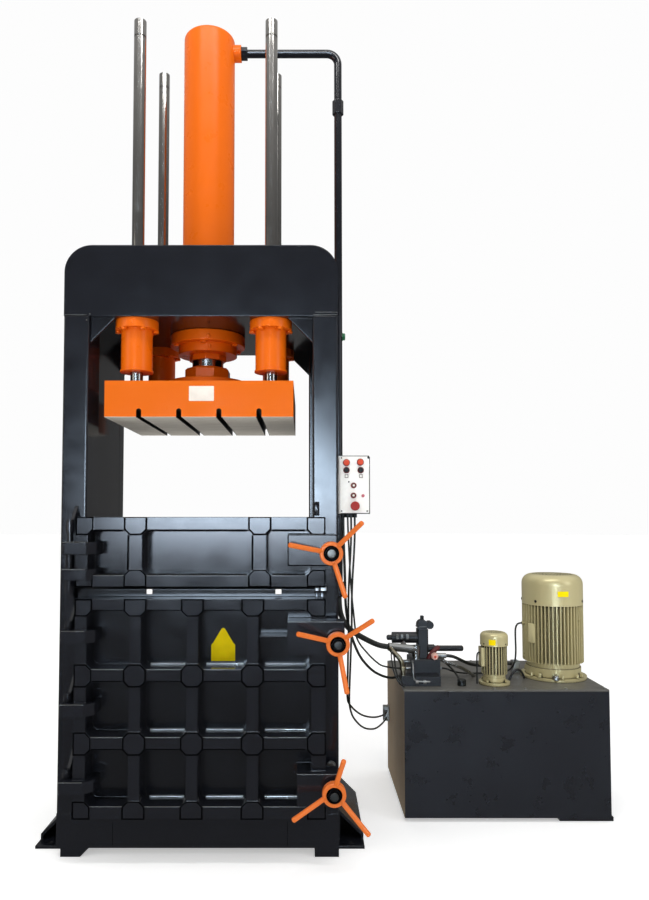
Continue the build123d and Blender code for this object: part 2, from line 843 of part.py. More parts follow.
def lattice(left, right, low, high, ribs, rails):
    """The welded grid of a door: posts and rails around rounded pockets, with
    eight-sided node plates a little proud at each crossing."""
    with BuildSketch(upright(skin_front)) as profile:
        with Locations(((left + right) / 2, (low + high) / 2)):
            Rectangle(right - left, high - low)
        for rib, next_rib in zip(ribs, ribs[1:]):
            for rail, next_rail in zip(rails, rails[1:]):
                wide = next_rib[0] - rib[1]
                tall = next_rail[0] - rail[1]
                with Locations((rib[1] + wide / 2, rail[1] + tall / 2)):
                    RectangleRounded(wide, tall, pocket_corner, mode=Mode.SUBTRACT)
    extrude(profile.sketch, amount=lattice_depth)
    with BuildSketch(upright(lattice_front)) as profile:
        for rib in ribs:
            for rail in rails:
                with Locations(((rib[0] + rib[1]) / 2, (rail[0] + rail[1]) / 2)):
                    Rectangle(node_size, node_size)
        chamfer(vertices(), node_chamfer)
        with Locations(((left + right) / 2, (low + high) / 2)):
            Rectangle(right - left, high - low, mode=Mode.INTERSECT)
    extrude(profile.sketch, amount=node_proud)


def hinge_arms(arms):
    """Arms that reach from the lattice over the hinge line to the left."""
    for (low, high) in arms:
        with BuildSketch(Plane.XY.offset(low)) as profile:
            with BuildLine():
                Polyline(
                    (arm_left, arm_back),
                    (arm_left, arm_front),
                    (arm_shoulder, arm_front),
                    (arm_pocket, arm_front + arm_edge),
                    (arm_pocket, skin_front),
                    (skin_left, skin_front),
                    (skin_left, arm_back),
                    close=True,
                )
            make_face()
            fillet(vertices().group_by(Axis.X)[0], arm_corner)
        extrude(profile.sketch, amount=high - low)


def lock_arm(left, right, low, high, x, z):
    """Box arm of a lock: full depth over the door, shallow over the column, with a
    cavity for the sliding bolt, a square guide at the back and a boss in front."""
    with BuildSketch(Plane.XY.offset(low)) as profile:
        with BuildLine():
            Polyline(
                (left, skin_front),
                (left, lock_front),
                (right, lock_front),
                (right, lock_back),
                (door_right, lock_back),
                (door_right, skin_front),
                close=True,
            )
        make_face()
    extrude(profile.sketch, amount=high - low)
    with BuildSketch(upright(lock_front)) as profile:
        with Locations((x, z)):
            Circle(boss_d / 2)
    extrude(profile.sketch, amount=boss_length)


def lock_bores(x, z):
    """Room inside a lock arm for its spindle and bolt."""
    with BuildSketch(upright(lock_back - lock_wall)) as profile:
        with Locations((x, z)):
            Rectangle(bolt_side + 2 * cavity_gap, bolt_side + 2 * cavity_gap)
    extrude(profile.sketch, amount=lock_back - lock_front - 2 * lock_wall, mode=Mode.SUBTRACT)
    with BuildSketch(upright(lock_back)) as profile:
        with Locations((x, z)):
            Rectangle(bolt_side + 2 * bolt_gap, bolt_side + 2 * bolt_gap)
    extrude(profile.sketch, amount=lock_wall, mode=Mode.SUBTRACT)
    with BuildSketch(upright(lock_front + lock_wall)) as profile:
        with Locations((x, z)):
            Circle(spindle_d / 2 + fit)
    extrude(profile.sketch, amount=lock_wall + boss_length, mode=Mode.SUBTRACT)


def pin_bore(low, high):
    """Bore for a hinge pin between two levels."""
    with BuildSketch(Plane.XY.offset(low)) as profile:
        with Locations((hinge_x, hinge_y)):
            Circle(pin_d / 2 + fit)
    extrude(profile.sketch, amount=high - low, mode=Mode.SUBTRACT)


# Upper door: skin, lattice, hinge arms with their barrel, and the lock arm
with BuildPart() as upper_door:
    with BuildSketch(upright(skin_back)):
        with Locations(((skin_left + door_right) / 2, (upper_low + upper_high) / 2)):
            Rectangle(door_right - skin_left, upper_high - upper_low)
    extrude(amount=skin)
    lattice(door_left, door_right, upper_low, upper_high, upper_ribs, upper_rails)
    hinge_arms(upper_arms)
    with BuildSketch(Plane.XY.offset(upper_barrel[0])):
        with Locations((hinge_x, hinge_y)):
            Circle(barrel_od / 2)
    extrude(amount=upper_barrel[1] - upper_barrel[0])
    lock_arm(*locks["upper"])
    lock_bores(*locks["upper"][4:])
    pin_bore(upper_barrel[0], upper_barrel[1])
save(upper_door, "upper_door")

# Lower door: the same construction with three hinge arms, two lock arms, a lip along
# its top edge and a small shelf beside the middle lock
with BuildPart() as lower_door:
    with BuildSketch(upright(skin_back)):
        with Locations(((skin_left + door_right) / 2, (lower_low + lip_high) / 2)):
            Rectangle(door_right - skin_left, lip_high - lower_low)
        for notch_x in lip_notches:
            with Locations((notch_x, (lip_low + lip_high) / 2 + 3)):
                Rectangle(lip_notch, lip_high - lip_low, mode=Mode.SUBTRACT)
    extrude(amount=skin)
    lattice(door_left, door_right, lower_low, lower_high, lower_ribs, lower_rails)
    hinge_arms(lower_arms)
    shelf_left = lower_ribs[3][1]
    shelf_right = locks["middle"][0]
    with BuildSketch(upright(skin_front)):
        with Locations(((shelf_left + shelf_right) / 2, shelf_z)):
            Rectangle(shelf_right - shelf_left, skin)
    extrude(amount=shelf_depth)
    lock_arm(*locks["middle"])
    lock_arm(*locks["lower"])
    lock_bores(*locks["middle"][4:])
    lock_bores(*locks["lower"][4:])
    for arm in lower_arms:
        pin_bore(arm[0], arm[1])
save(lower_door, "lower_door")

# Hinge ears on the left column: upright plates with sloped edges that end in an eye
with BuildPart() as hinge_ears:
    slope = front - ear_tip
    plates = [(top_ear[0], top_ear[1], 0.0, slope)]
    plates.append((upper_barrel[0] - face_gap - under_ear, upper_barrel[0] - face_gap, slope, 0.0))
    for arm in lower_arms:
        plates.append((arm[1] + face_gap, arm[1] + face_gap + ear_short, 0.0, slope))
    for (low, high, drop, lift) in plates:
        with BuildSketch(lengthwise(hinge_x - ear_plate / 2)):
            with BuildLine():
                Polyline(
                    (front, low - drop),
                    (ear_tip, low),
                    (ear_tip, high),
                    (front, high + lift),
                    close=True,
                )
            make_face()
        extrude(amount=ear_plate)
        with BuildSketch(Plane.XY.offset(low)):
            with Locations((hinge_x, hinge_y)):
                Circle(barrel_od / 2)
        extrude(amount=high - low)
        pin_bore(low, high)
save(hinge_ears, "hinge_ears")

# Hinge pins with small heads on the top of each eye
with BuildPart() as hinge_pins:
    spans = [(upper_barrel[0] - face_gap - under_ear, top_ear[1])]
    for arm in lower_arms:
        spans.append((arm[0] - 4, arm[1] + face_gap + ear_short))
    for (low, high) in spans:
        with BuildSketch(Plane.XY.offset(low)):
            with Locations((hinge_x, hinge_y)):
                Circle(pin_d / 2)
        extrude(amount=high - low)
        with BuildSketch(Plane.XY.offset(high)):
            with Locations((hinge_x, hinge_y)):
                Circle(pin_d / 2 + pin_head_lip)
        extrude(amount=pin_head)
save(hinge_pins, "hinge_pins")

# Keepers on the right column with square sockets for the lock bolts
with BuildPart() as keepers:
    with BuildSketch(upright(front)):
        for lock in locks.values():
            with Locations((lock[4] + (keeper_half - keeper_inner) / 2, lock[5])):
                Rectangle(keeper_half + keeper_inner, 2 * keeper_half)
            with Locations((lock[4], lock[5])):
                Rectangle(bolt_side + 2 * keeper_slack, bolt_side + 2 * keeper_slack, mode=Mode.SUBTRACT)
    extrude(amount=keeper_depth)
save(keepers, "keepers")

hub_back = lock_front - boss_length - hub_gap
hub_front = hub_back - hub_length

for name, lock in locks.items():
    x = lock[4]
    z = lock[5]

    # Handwheel: a hub with three round bars that rise forwards
    with BuildPart() as wheel:
        with BuildSketch(upright(hub_back)):
            with Locations((x, z)):
                Circle(hub_od / 2)
        extrude(amount=hub_length)
        chamfer(wheel.edges().filter_by(GeomType.CIRCLE), 4)
        for turn in range(3):
            angle = math.radians(wheel_turn[name] + 120 * turn)
            outward = Vector(math.cos(angle), 0, math.sin(angle))
            start = Vector(x, hub_back - hub_length / 2, z) + outward * bar_root
            end = Vector(x, hub_back - hub_length / 2 - bar_rise, z) + outward * bar_reach
            with BuildSketch(Plane(origin=start, z_dir=end - start)):
                Circle(bar_d / 2)
            extrude(amount=(end - start).length)
            tip = wheel.edges().filter_by(GeomType.CIRCLE).sort_by_distance(end)[0]
            fillet(tip, 5)
        with BuildSketch(upright(hub_front + hub_recess_depth)):
            with Locations((x, z)):
                Circle(hub_recess / 2)
        extrude(amount=hub_recess_depth, mode=Mode.SUBTRACT)
        with BuildSketch(upright(hub_back)):
            with Locations((x, z)):
                Circle(spindle_d / 2 + fit)
        extrude(amount=hub_length, mode=Mode.SUBTRACT)
    save(wheel, f"{name}_wheel")

    # Spindle: journal through hub and boss, screw behind it, nut and washer in front
    with BuildPart() as spindle:
        with BuildSketch(upright(journal_end)):
            with Locations((x, z)):
                Circle(spindle_d / 2)
        extrude(amount=journal_end - hub_front + 4)
        with BuildSketch(upright(screw_end)):
            with Locations((x, z)):
                Circle(screw_d / 2)
        extrude(amount=screw_end - journal_end)
        with BuildSketch(upright(hub_front + hub_recess_depth)):
            with Locations((x, z)):
                Circle(washer_od / 2)
                Circle(spindle_d / 2, mode=Mode.SUBTRACT)
        extrude(amount=washer)
        with BuildSketch(upright(hub_front + hub_recess_depth - washer)):
            with Locations((x, z)):
                RegularPolygon(nut_flats / 2, 6, major_radius=False)
                Circle(spindle_d / 2, mode=Mode.SUBTRACT)
        extrude(amount=nut_height)
    save(spindle, f"{name}_spindle")

    # Lock bolt: a square bar, drilled for the screw, held off the keeper at rest
    with BuildPart() as bolt:
        tip_y = front - keeper_depth - tip_gap
        with BuildSketch(upright(tip_y)):
            with Locations((x, z)):
                Rectangle(bolt_side, bolt_side)
        extrude(amount=bolt_length)
        chamfer(bolt.faces().sort_by(Axis.Y)[-1].edges(), 5)
        with BuildSketch(upright(tip_y - bolt_face)):
            with Locations((x, z)):
                Circle(screw_d / 2 + fit)
        extrude(amount=bolt_length - bolt_face, mode=Mode.SUBTRACT)
    save(bolt, f"{name}_bolt")

# Control box on a bracket, with round holes for its buttons
round_holes = [(spot, red_d) for spot in red_spots.values()]
round_holes += [(spot, selector_d) for spot in selector_spots.values()]
round_holes += [(spot, ring_d) for spot in ring_spots.values()]
round_holes += [(lamp_spot, lamp_d), (stop_spot, stop_stem)]
box_x = box_left + box_width / 2
box_z = (box_low + box_high) / 2
with BuildPart() as control_box:
    with BuildSketch(upright(box_back)):
        with Locations((box_x, box_z)):
            RectangleRounded(box_width, box_high - box_low, box_corner)
    extrude(amount=box_back - box_front - cover_plate)
    with BuildSketch(upright(box_front + cover_plate)):
        with Locations((box_x, box_z)):
            RectangleRounded(box_width - 2 * cover_step, box_high - box_low - 2 * cover_step, box_corner)
    extrude(amount=cover_plate)
    with BuildSketch(upright(box_front)):
        for (spot, hole) in round_holes:
            with Locations(spot):
                Circle(hole / 2 + button_gap)
    extrude(amount=-(button_sink + push_travel + button_slack), mode=Mode.SUBTRACT)
    bracket = box_left - side
    with BuildSketch(lengthwise(side)):
        with Locations(((box_front + box_back) / 2, box_z)):
            Rectangle(box_back - box_front - 2 * bracket_inset, box_high - box_low - 2 * bracket_margin)
    extrude(amount=bracket)
    with BuildSketch(Plane.XY.offset(box_low - gland_drop)):
        with Locations(*gland_spots):
            RegularPolygon(gland_d / 2, 6)
    extrude(amount=gland_drop)
save(control_box, "control_box")

# Bezels around the push buttons and the selectors
with BuildPart() as button_bezels:
    with BuildSketch(upright(box_front)):
        for (spots, size, wall) in (
            (red_spots, red_d, bezel_wall),
            (selector_spots, selector_d, bezel_wall),
            (ring_spots, ring_d, ring_bezel),
        ):
            with Locations(*spots.values()):
                Circle(size / 2 + button_gap + wall)
                Circle(size / 2 + button_gap, mode=Mode.SUBTRACT)
    extrude(amount=bezel_height)
save(button_bezels, "button_bezels")


def push_button(spot, size, proud):
    """A round plunger that slides in its hole."""
    with BuildSketch(upright(box_front + button_sink)) as profile:
        with Locations(spot):
            Circle(size / 2)
    extrude(profile.sketch, amount=button_sink + proud)


for hand, spot in red_spots.items():
    with BuildPart() as red_button:
        push_button(spot, red_d, red_proud)
        fillet(red_button.edges().group_by(Axis.Y)[0], 3)
    save(red_button, f"red_button_{hand}")

for level, spot in ring_spots.items():
    with BuildPart() as ring_button:
        push_button(spot, ring_d, ring_proud)
        fillet(ring_button.edges().group_by(Axis.Y)[0], 1.5)
    save(ring_button, f"ring_button_{level}")

for hand, spot in selector_spots.items():
    with BuildPart() as selector:
        push_button(spot, selector_d, selector_proud)
        with BuildSketch(upright(box_front - selector_proud)):
            with Locations(spot):
                SlotOverall(selector_d - 1, 8, rotation=90)
        extrude(amount=selector_grip)
    save(selector, f"selector_{hand}")

with BuildPart() as stop_button:
    with BuildSketch(upright(box_front + button_sink)):
        with Locations(stop_spot):
            Circle(stop_stem / 2)
    extrude(amount=button_sink + stop_stand)
    with BuildSketch(upright(box_front - stop_stand)):
        with Locations(stop_spot):
            Circle(stop_d / 2)
    extrude(amount=stop_cap)
    fillet(stop_button.edges().group_by(Axis.Y)[0], 4)
save(stop_button, "stop_button")

with BuildPart() as lamp:
    push_button(lamp_spot, lamp_d, lamp_proud)
    fillet(lamp.edges().group_by(Axis.Y)[0], 3)
save(lamp, "lamp")

# Oil tank: an open box of plate on two floor rails
tank_x = tank_left + tank_width / 2
tank_y = tank_front + tank_depth / 2
lid_low = tank_high - tank_lid_plate
with BuildPart() as tank:
    with BuildSketch(Plane.XY.offset(tank_low)):
        with Locations((tank_x, tank_y)):
            Rectangle(tank_width, tank_depth)
    extrude(amount=lid_low - tank_low)
    with BuildSketch(Plane.XY.offset(tank_low + tank_wall)):
        with Locations((tank_x, tank_y)):
            Rectangle(tank_width - 2 * tank_wall, tank_depth - 2 * tank_wall)
    extrude(amount=lid_low - tank_low, mode=Mode.SUBTRACT)
    with BuildSketch(Plane.XY):
        with Locations((tank_left + tank_width - rail_width / 2 + rail_over, tank_y - rail_over)):
            Rectangle(rail_width, tank_depth - rail_setback)
        with Locations((tank_left + rail_setback + rail_width / 2, tank_y + rail_setback / 2)):
            Rectangle(rail_width, tank_depth - 2 * rail_setback)
    extrude(amount=tank_low)
save(tank, "tank")

# Tank lid
with BuildPart() as tank_lid:
    with BuildSketch(Plane.XY.offset(lid_low)):
        with Locations((tank_x, tank_y)):
            Rectangle(tank_width, tank_depth)
    extrude(amount=tank_lid_plate)
save(tank_lid, "tank_lid")


def motor(x, y, flange, shield, body, fin, fins, cover_low, neck):
    """A flange motor that stands on its shaft end: flange with four nuts, end shield,
    and a body with upright cooling fins."""
    with BuildSketch(Plane.XY.offset(tank_high)) as profile:
        with Locations((x, y)):
            Circle(flange / 2)
    extrude(profile.sketch, amount=flange_plate)
    with BuildSketch(Plane.XY.offset(tank_high + flange_plate)) as profile:
        with Locations((x, y)):
            Circle(shield / 2)
    extrude(profile.sketch, amount=neck)
    with BuildSketch(Plane.XY.offset(tank_high + flange_plate + neck)) as profile:
        with Locations((x, y)):
            Circle(body / 2)
    extrude(profile.sketch, amount=cover_low - tank_high - flange_plate - neck)
    with BuildSketch(Plane.XY.offset(tank_high + flange_plate + 1.6 * neck)) as profile:
        with Locations((x, y)):
            with PolarLocations(body / 2 + fin / 2 - 2, fins):
                Rectangle(fin, fin_thickness)
    extrude(profile.sketch, amount=cover_low - tank_high - flange_plate - 1.6 * neck)
    with BuildSketch(Plane.XY.offset(tank_high + flange_plate)) as profile:
        with Locations((x, y)):
            with PolarLocations((flange + shield) / 4, 4, start_angle=45):
                RegularPolygon((flange - shield) / 6, 6)
    extrude(profile.sketch, amount=neck / 2)


with BuildPart() as large_motor:
    motor(
        large_x, large_y, large_flange, large_shield, large_body, large_fin, large_fin_count,
        large_cover_low, large_neck,
    )
    with BuildSketch(lengthwise(motor_gland_x)):
        with Locations((large_y, motor_gland_z)):
            Circle(motor_gland_d / 2)
    extrude(amount=large_x - large_body / 2 - motor_gland_x + 4)
save(large_motor, "large_motor")
with BuildPart() as small_motor:
    motor(
        small_x, small_y, small_flange, small_shield, small_body, small_fin, small_fin_count,
        small_cover_low, small_neck,
    )
    terminal_left = small_x - small_body / 2 - terminal_proud
    with BuildSketch(Plane.XY.offset(tank_high + terminal_rise)):
        with Locations(((terminal_left + small_x) / 2, small_y)):
            Rectangle(small_x - terminal_left, terminal_depth)
    extrude(amount=terminal_height)
save(small_motor, "small_motor")

# Domed fan covers, seated on top of the motor bodies
with BuildPart() as fan_covers:
    with BuildSketch(Plane.XY.offset(large_cover_low)):
        with Locations((large_x, large_y)):
            Circle(large_cover / 2)
    extrude(amount=large_top - large_cover_low)
    fillet(fan_covers.edges().group_by(Axis.Z)[-1], large_cover_edge)
    with BuildSketch(Plane.XY.offset(small_cover_low)):
        with Locations((small_x, small_y)):
            Circle(small_cover / 2)
    extrude(amount=small_top - small_cover_low)
    small_peak = (small_x, small_y, small_top)
    small_rim = fan_covers.edges().filter_by(GeomType.CIRCLE).sort_by_distance(small_peak)[0]
    fillet(small_rim, small_cover_edge)
save(fan_covers, "fan_covers")

# Valve block on the tank, with a lower step towards the front
with BuildPart() as valve_block:
    with BuildSketch(Plane.XY.offset(tank_high)):
        with Locations((block_left + block_width / 2, block_front + block_depth / 2)):
            Rectangle(block_width, block_depth)
    extrude(amount=block_height)
    with BuildSketch(Plane.XY.offset(tank_high)):
        with Locations((step_left + step_width / 2, (step_front + block_front) / 2)):
            Rectangle(step_width, block_front - step_front)
    extrude(amount=step_height)
    chamfer(valve_block.faces().sort_by(Axis.Z)[-1].edges(), 3)
save(valve_block, "valve_block")

# Directional valve: upright body with a round head and its adjusting knob, a second knob
# beside the head, a tapered solenoid with a lever to the left and a plug to the right
head_z = valve_low + valve_height + valve_head_rise
with BuildPart() as directional_valve:
    with BuildSketch(Plane.XY.offset(valve_low)):
        with Locations((valve_x, valve_y)):
            RectangleRounded(valve_body, valve_body + 10, 8)
    extrude(amount=valve_height)
    with BuildSketch(upright(valve_y + valve_body / 2)):
        with Locations((valve_x, head_z)):
            Circle(valve_head_d / 2)
    extrude(amount=valve_body)
    with BuildSketch(Plane.XY.offset(head_z)):
        with Locations((valve_x, valve_y)):
            Circle(knob_d / 2)
    extrude(amount=knob_rise)
    with BuildSketch(upright(valve_y + side_knob_length / 2)):
        with Locations((valve_x + side_knob_out, head_z)):
            RegularPolygon(side_knob_d / 2, 10)
    extrude(amount=side_knob_length)
    with BuildSketch(lengthwise(valve_x - valve_body / 2)):
        with Locations((valve_y, valve_low + solenoid_rise)):
            Circle(solenoid_d / 2)
    extrude(amount=-solenoid_length)
    with BuildSketch(lengthwise(valve_x - valve_body / 2 - solenoid_length)) as wide_end:
        with Locations((valve_y, valve_low + solenoid_rise)):
            Circle(solenoid_d / 2)
    with BuildSketch(lengthwise(valve_x - valve_body / 2 - solenoid_length - solenoid_taper)) as thin_side:
        with Locations((valve_y, valve_low + solenoid_rise)):
            Circle(lever_d / 2)
    loft([wide_end.sketch, thin_side.sketch])
    with BuildSketch(lengthwise(valve_x - valve_body / 2 - solenoid_length - solenoid_taper)):
        with Locations((valve_y, valve_low + solenoid_rise)):
            Circle(lever_d / 2)
    extrude(amount=-lever_length)
    fillet(directional_valve.edges().group_by(Axis.X)[0], lever_d / 3)
    with BuildSketch(lengthwise(valve_x + valve_body / 2)):
        with Locations((valve_y, valve_low + plug_rise)):
            Circle(plug_d / 2)
    extrude(amount=plug_length)
    fillet(directional_valve.edges().group_by(Axis.X)[-1], plug_d / 3)
    with BuildSketch(lengthwise(valve_x + valve_body / 2)):
        with Locations((valve_y, valve_low + plug_rise)):
            Circle(plug_collar_d / 2)
    extrude(amount=plug_collar)
save(directional_valve, "directional_valve")

# Filler cap: a knurled cap on a short neck
with BuildPart() as filler_cap:
    with BuildSketch(Plane.XY.offset(tank_high + face_gap / 2)):
        with Locations((cap_x, cap_y)):
            Circle(cap_d / 2)
    extrude(amount=cap_height)
    chamfer(filler_cap.edges().group_by(Axis.Z)[-1], 4)
save(filler_cap, "filler_cap")

# Steel pipe from the cylinder port, over the crown and down beside the column
port_face = cylinder_x + cylinder_od / 2 + port_reach
with BuildPart() as pressure_pipe:
    with BuildLine():
        FilletPolyline(
            (port_face, 0, port_z),
            (pipe_x, 0, port_z),
            (pipe_x, 0, pipe_low),
            radius=pipe_bend,
        )
    with BuildSketch(lengthwise(port_face)):
        with Locations((0, port_z)):
            Circle(pipe_d / 2)
    sweep()
    with BuildSketch(lengthwise(port_face)):
        with Locations((0, port_z)):
            RegularPolygon(pipe_nut / 2, 6, major_radius=False)
    extrude(amount=pipe_nut_length)
    for (low, tall) in ((coupling_z, coupling_length), (pipe_low - pipe_tail, 1.4 * pipe_tail)):
        with BuildSketch(Plane.XY.offset(low)):
            with Locations((pipe_x, 0)):
                RegularPolygon(coupling_d / 2 + 2, 6, major_radius=False)
        extrude(amount=tall)
save(pressure_pipe, "pressure_pipe")

# Fittings where the hoses and cables end: on the valve block, on the lid and a small
# junction block on the side of the tank
with BuildPart() as hose_fittings:
    fitting_run = Vector(*elbow) - Vector(*main_end)
    with BuildSketch(Plane(origin=main_end, z_dir=fitting_run)):
        Circle(main_fitting_d / 2)
    extrude(amount=fitting_run.length)
    with BuildSketch(Plane.XY.offset(valve_low)):
        with Locations(elbow[:2]):
            Circle(main_fitting_d / 2)
    extrude(amount=elbow[2] + main_fitting_d / 2 - valve_low)
    with BuildSketch(lengthwise(thin_end[0])):
        with Locations(thin_end[1:]):
            Circle(thin_fitting_d / 2)
    extrude(amount=block_left - thin_end[0])
    with BuildSketch(lengthwise(block_left)):
        with Locations((pilot_end[1], pilot_end[2] + pilot_fitting_d)):
            Circle(pilot_fitting_d / 2)
    extrude(amount=pilot_end[0] - pilot_fitting_d / 2 - block_left)
    with BuildSketch(Plane.XY.offset(pilot_end[2])):
        with Locations((pilot_end[0], pilot_end[1])):
            Circle(pilot_fitting_d / 2)
    extrude(amount=pilot_fitting_d)
    with BuildSketch(lengthwise(block_right)):
        with Locations(motor_cable_end[1:]):
            Circle(motor_cable_fitting_d / 2)
    extrude(amount=motor_cable_end[0] - block_right)
    with BuildSketch(Plane.XY.offset(valve_low)):
        with Locations((block_right - motor_hose_fitting_d, motor_hose_start[1])):
            Circle(motor_hose_fitting_d / 2 + fitting_collar)
    extrude(amount=motor_hose_start[2] + motor_hose_fitting_d / 2 + fitting_collar - valve_low)
    with BuildSketch(lengthwise(block_right - motor_hose_fitting_d)):
        with Locations(motor_hose_start[1:]):
            Circle(motor_hose_fitting_d / 2)
    extrude(amount=motor_hose_start[0] - block_right + motor_hose_fitting_d)
    with BuildSketch(Plane.XY.offset(tank_high)):
        with Locations((motor_hose_end[0] + lid_fitting / 2, motor_hose_end[1])):
            Rectangle(lid_fitting, lid_fitting)
    extrude(amount=motor_hose_end[2] - tank_high + lid_fitting / 2)
    with BuildSketch(lengthwise(tank_left)):
        with Locations((junction_y + junction_side / 2, junction_z)):
            Rectangle(junction_side, 2 * junction_side)
    extrude(amount=-junction_depth)
save(hose_fittings, "hose_fittings")


def cord(name, size, points):
    """A round cord through these points: straight runs joined by arcs that are as large
    as the two runs allow."""
    stops = [Vector(*point) for point in points]
    runs = [b - a for a, b in zip(stops, stops[1:])]
    radii = []
    for run, next_run in zip(runs, runs[1:]):
        half_turn = math.radians(run.get_angle(next_run)) / 2
        radii.append(0.45 * min(run.length, next_run.length) / math.tan(half_turn))
    print(name, "radii", [round(radius) for radius in radii], "runs", [round(run.length) for run in runs])
    with BuildPart() as piece:
        with BuildLine() as route:
            FilletPolyline(*stops, radius=radii)
        with BuildSketch(Plane(origin=stops[0], z_dir=runs[0])) as section:
            Circle(size / 2)
        sweep(section.sketch, path=route.line)
    print(name, "volume share", round(piece.part.volume / (math.pi * size**2 / 4 * route.wire().length), 4))
    save(piece, name)


for (name, (size, points)) in cords.items():
    cord(name, size, points)
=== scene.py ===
# %% [markdown]
# # A recycling baler and its power pack
#
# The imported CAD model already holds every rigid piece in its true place. This lesson gives those
# pieces their finishes, lays the hoses and cables, and adds what is too small or too thin for the
# CAD: bolts, plates, weld beads and vents. Everything is in metres, with the floor at z = 0, the
# press centred on the origin, its doors facing -Y and the power pack to the right, along +X.

import math

import bmesh
import bpy
import numpy as np
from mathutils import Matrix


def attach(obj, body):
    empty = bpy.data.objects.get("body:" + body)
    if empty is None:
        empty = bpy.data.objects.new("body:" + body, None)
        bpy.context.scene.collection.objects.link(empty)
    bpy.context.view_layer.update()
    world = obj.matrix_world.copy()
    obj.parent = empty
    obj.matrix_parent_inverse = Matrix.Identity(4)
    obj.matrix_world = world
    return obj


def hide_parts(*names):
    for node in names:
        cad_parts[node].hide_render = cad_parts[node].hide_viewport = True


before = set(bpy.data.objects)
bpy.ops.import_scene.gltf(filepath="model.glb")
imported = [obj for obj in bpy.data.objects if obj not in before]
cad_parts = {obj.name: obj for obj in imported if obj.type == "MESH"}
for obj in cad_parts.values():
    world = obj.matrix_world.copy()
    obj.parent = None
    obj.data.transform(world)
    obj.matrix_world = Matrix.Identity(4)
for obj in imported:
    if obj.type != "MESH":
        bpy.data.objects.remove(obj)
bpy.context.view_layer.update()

# %% [markdown]
# ## The camera
#
# The photograph was taken from a little above chest height and close by, so upright edges lean
# and the power pack is seen partly from above. Fitting the known corners of the press to the
# picture gives a focal length of 700 pixels on a frame 900 pixels high, which is 28 mm on a 36 mm
# sensor, and a lens axis that is not quite in the middle of the cropped picture. That last part
# becomes a small shift, which is how a real view camera would do it.

# %% Camera
focal_pixels = 700.0
axis_column, axis_row = 304.9, 486.7
picture_width, picture_height = 649.0, 900.0

lens = bpy.data.cameras.new("camera")
lens.sensor_width = 36.0
lens.lens = 36.0 * focal_pixels / picture_height
lens.shift_x = (picture_width / 2 - axis_column) / picture_height
lens.shift_y = (axis_row - picture_height / 2) / picture_height
camera = bpy.data.objects.new("camera", lens)
camera.location = (0.4555, -3.4039, 1.4368)
camera.rotation_euler = (math.radians(92.5), 0.0, 0.0)
bpy.context.scene.collection.objects.link(camera)
bpy.context.scene.camera = camera
print("lens", round(lens.lens, 2), "mm, shift", round(lens.shift_x, 4), round(lens.shift_y, 4))

# %% [markdown]
# ## Three small helpers for materials
#
# Colours are easiest to choose as the hex values that a picture editor shows. Those are sRGB
# values, and Blender calculates with linear light, so one function turns the one into the other.
# The second helper adds a shader node with its settings and links in one line, which keeps the
# recipes below short enough to read as recipes, and the third opens an empty material for them.

# %% Colour and node helpers
def linear(hex_code):
    """sRGB hex to linear RGBA: c / 12.92 up to 0.04045, above it ((c + 0.055) / 1.055) ** 2.4."""
    srgb = np.array([int(hex_code[i:i + 2], 16) for i in (1, 3, 5)]) / 255.0
    light = np.where(srgb <= 0.04045, srgb / 12.92, ((srgb + 0.055) / 1.055) ** 2.4)
    return (*light.tolist(), 1.0)


def add(tree, kind, links=None, **settings):
    """Add one node. A value in links is either a socket to join or a plain number or colour."""
    node = tree.nodes.new("ShaderNode" + kind)
    for key, value in settings.items():
        setattr(node, key, value)
    for socket, source in (links or {}).items():
        if isinstance(source, bpy.types.NodeSocket):
            tree.links.new(source, node.inputs[socket])
        else:
            node.inputs[socket].default_value = source
    return node


def start_material(name):
    """An empty node material and its tree."""
    material = bpy.data.materials.new(name)
    material.use_nodes = True
    material.node_tree.nodes.clear()
    return material, material.node_tree


print("black enamel in linear light:", [round(v, 4) for v in linear("#1B1C21")[:3]])

# %% [markdown]
# ## Sprayed enamel
#
# Frame, doors, cylinder, handwheels, tank and motors are all welded or cast steel that was
# sprayed. Sprayed enamel has two marks that the eye knows: a fine orange peel that breaks up
# reflections, and a slow drift of tone where one coat is thicker. Its corners get painted shade:
# the paint is darkened in patches near every edge. The peel is a noise of 2 to 4 mm, the drift
# one of about 300 mm. Corners come from the Bevel node, which rounds the shading normal near an
# edge without touching the mesh: how far it turns the normal also tells how close the edge is,
# and that is where the painted edge shade goes.
#
# Three places need more. The underside of the pressing plate has lost its paint and shows
# streaky metal, and the near side of the tank gets tan streaks of the same kind, as a painted
# reflection of a warm room. The walls of the plate's slot openings are painted dark as shade, and
# between the fins of a motor ambient occlusion darkens the gaps as painted shade.

# %% Masks of planed steel, painted shade and painted reflection
def painted_edge_shade(tree, place, bevel, edge_shade_strength):
    """Mask of painted edge shade: how far the bevelled normal turned from the true one, times a noise of 25 mm,
    times its strength.
    """
    true_normal = add(tree, "NewGeometry").outputs["Normal"]
    turn = add(tree, "VectorMath", {0: bevel.outputs["Normal"], 1: true_normal}, operation="DOT_PRODUCT")
    near_edge = add(tree, "MapRange", {"Value": turn.outputs["Value"], "From Min": 0.995, "From Max": 0.86})
    patches = add(tree, "TexNoise", {"Vector": place, "Scale": 1000 / 25, "Detail": 4.0})
    patchy = add(tree, "MapRange", {"Value": patches.outputs["Fac"], "From Min": 0.45, "From Max": 0.65})
    shaded_edge = add(tree, "Math", {0: near_edge.outputs["Result"], 1: patchy.outputs["Result"]},
               operation="MULTIPLY")
    return add(tree, "Math", {0: shaded_edge.outputs[0], 1: edge_shade_strength}, operation="MULTIPLY").outputs[0]


def painted_gap_shade(tree):
    """Mask = 1 deep in gaps narrower than 12 mm, from ambient occlusion: where the painted shade goes."""
    open_sky = add(tree, "AmbientOcclusion", {"Distance": 0.012}, samples=6)
    deep = add(tree, "MapRange", {"Value": open_sky.outputs["AO"], "From Min": 0.85, "From Max": 0.5})
    return deep.outputs["Result"]


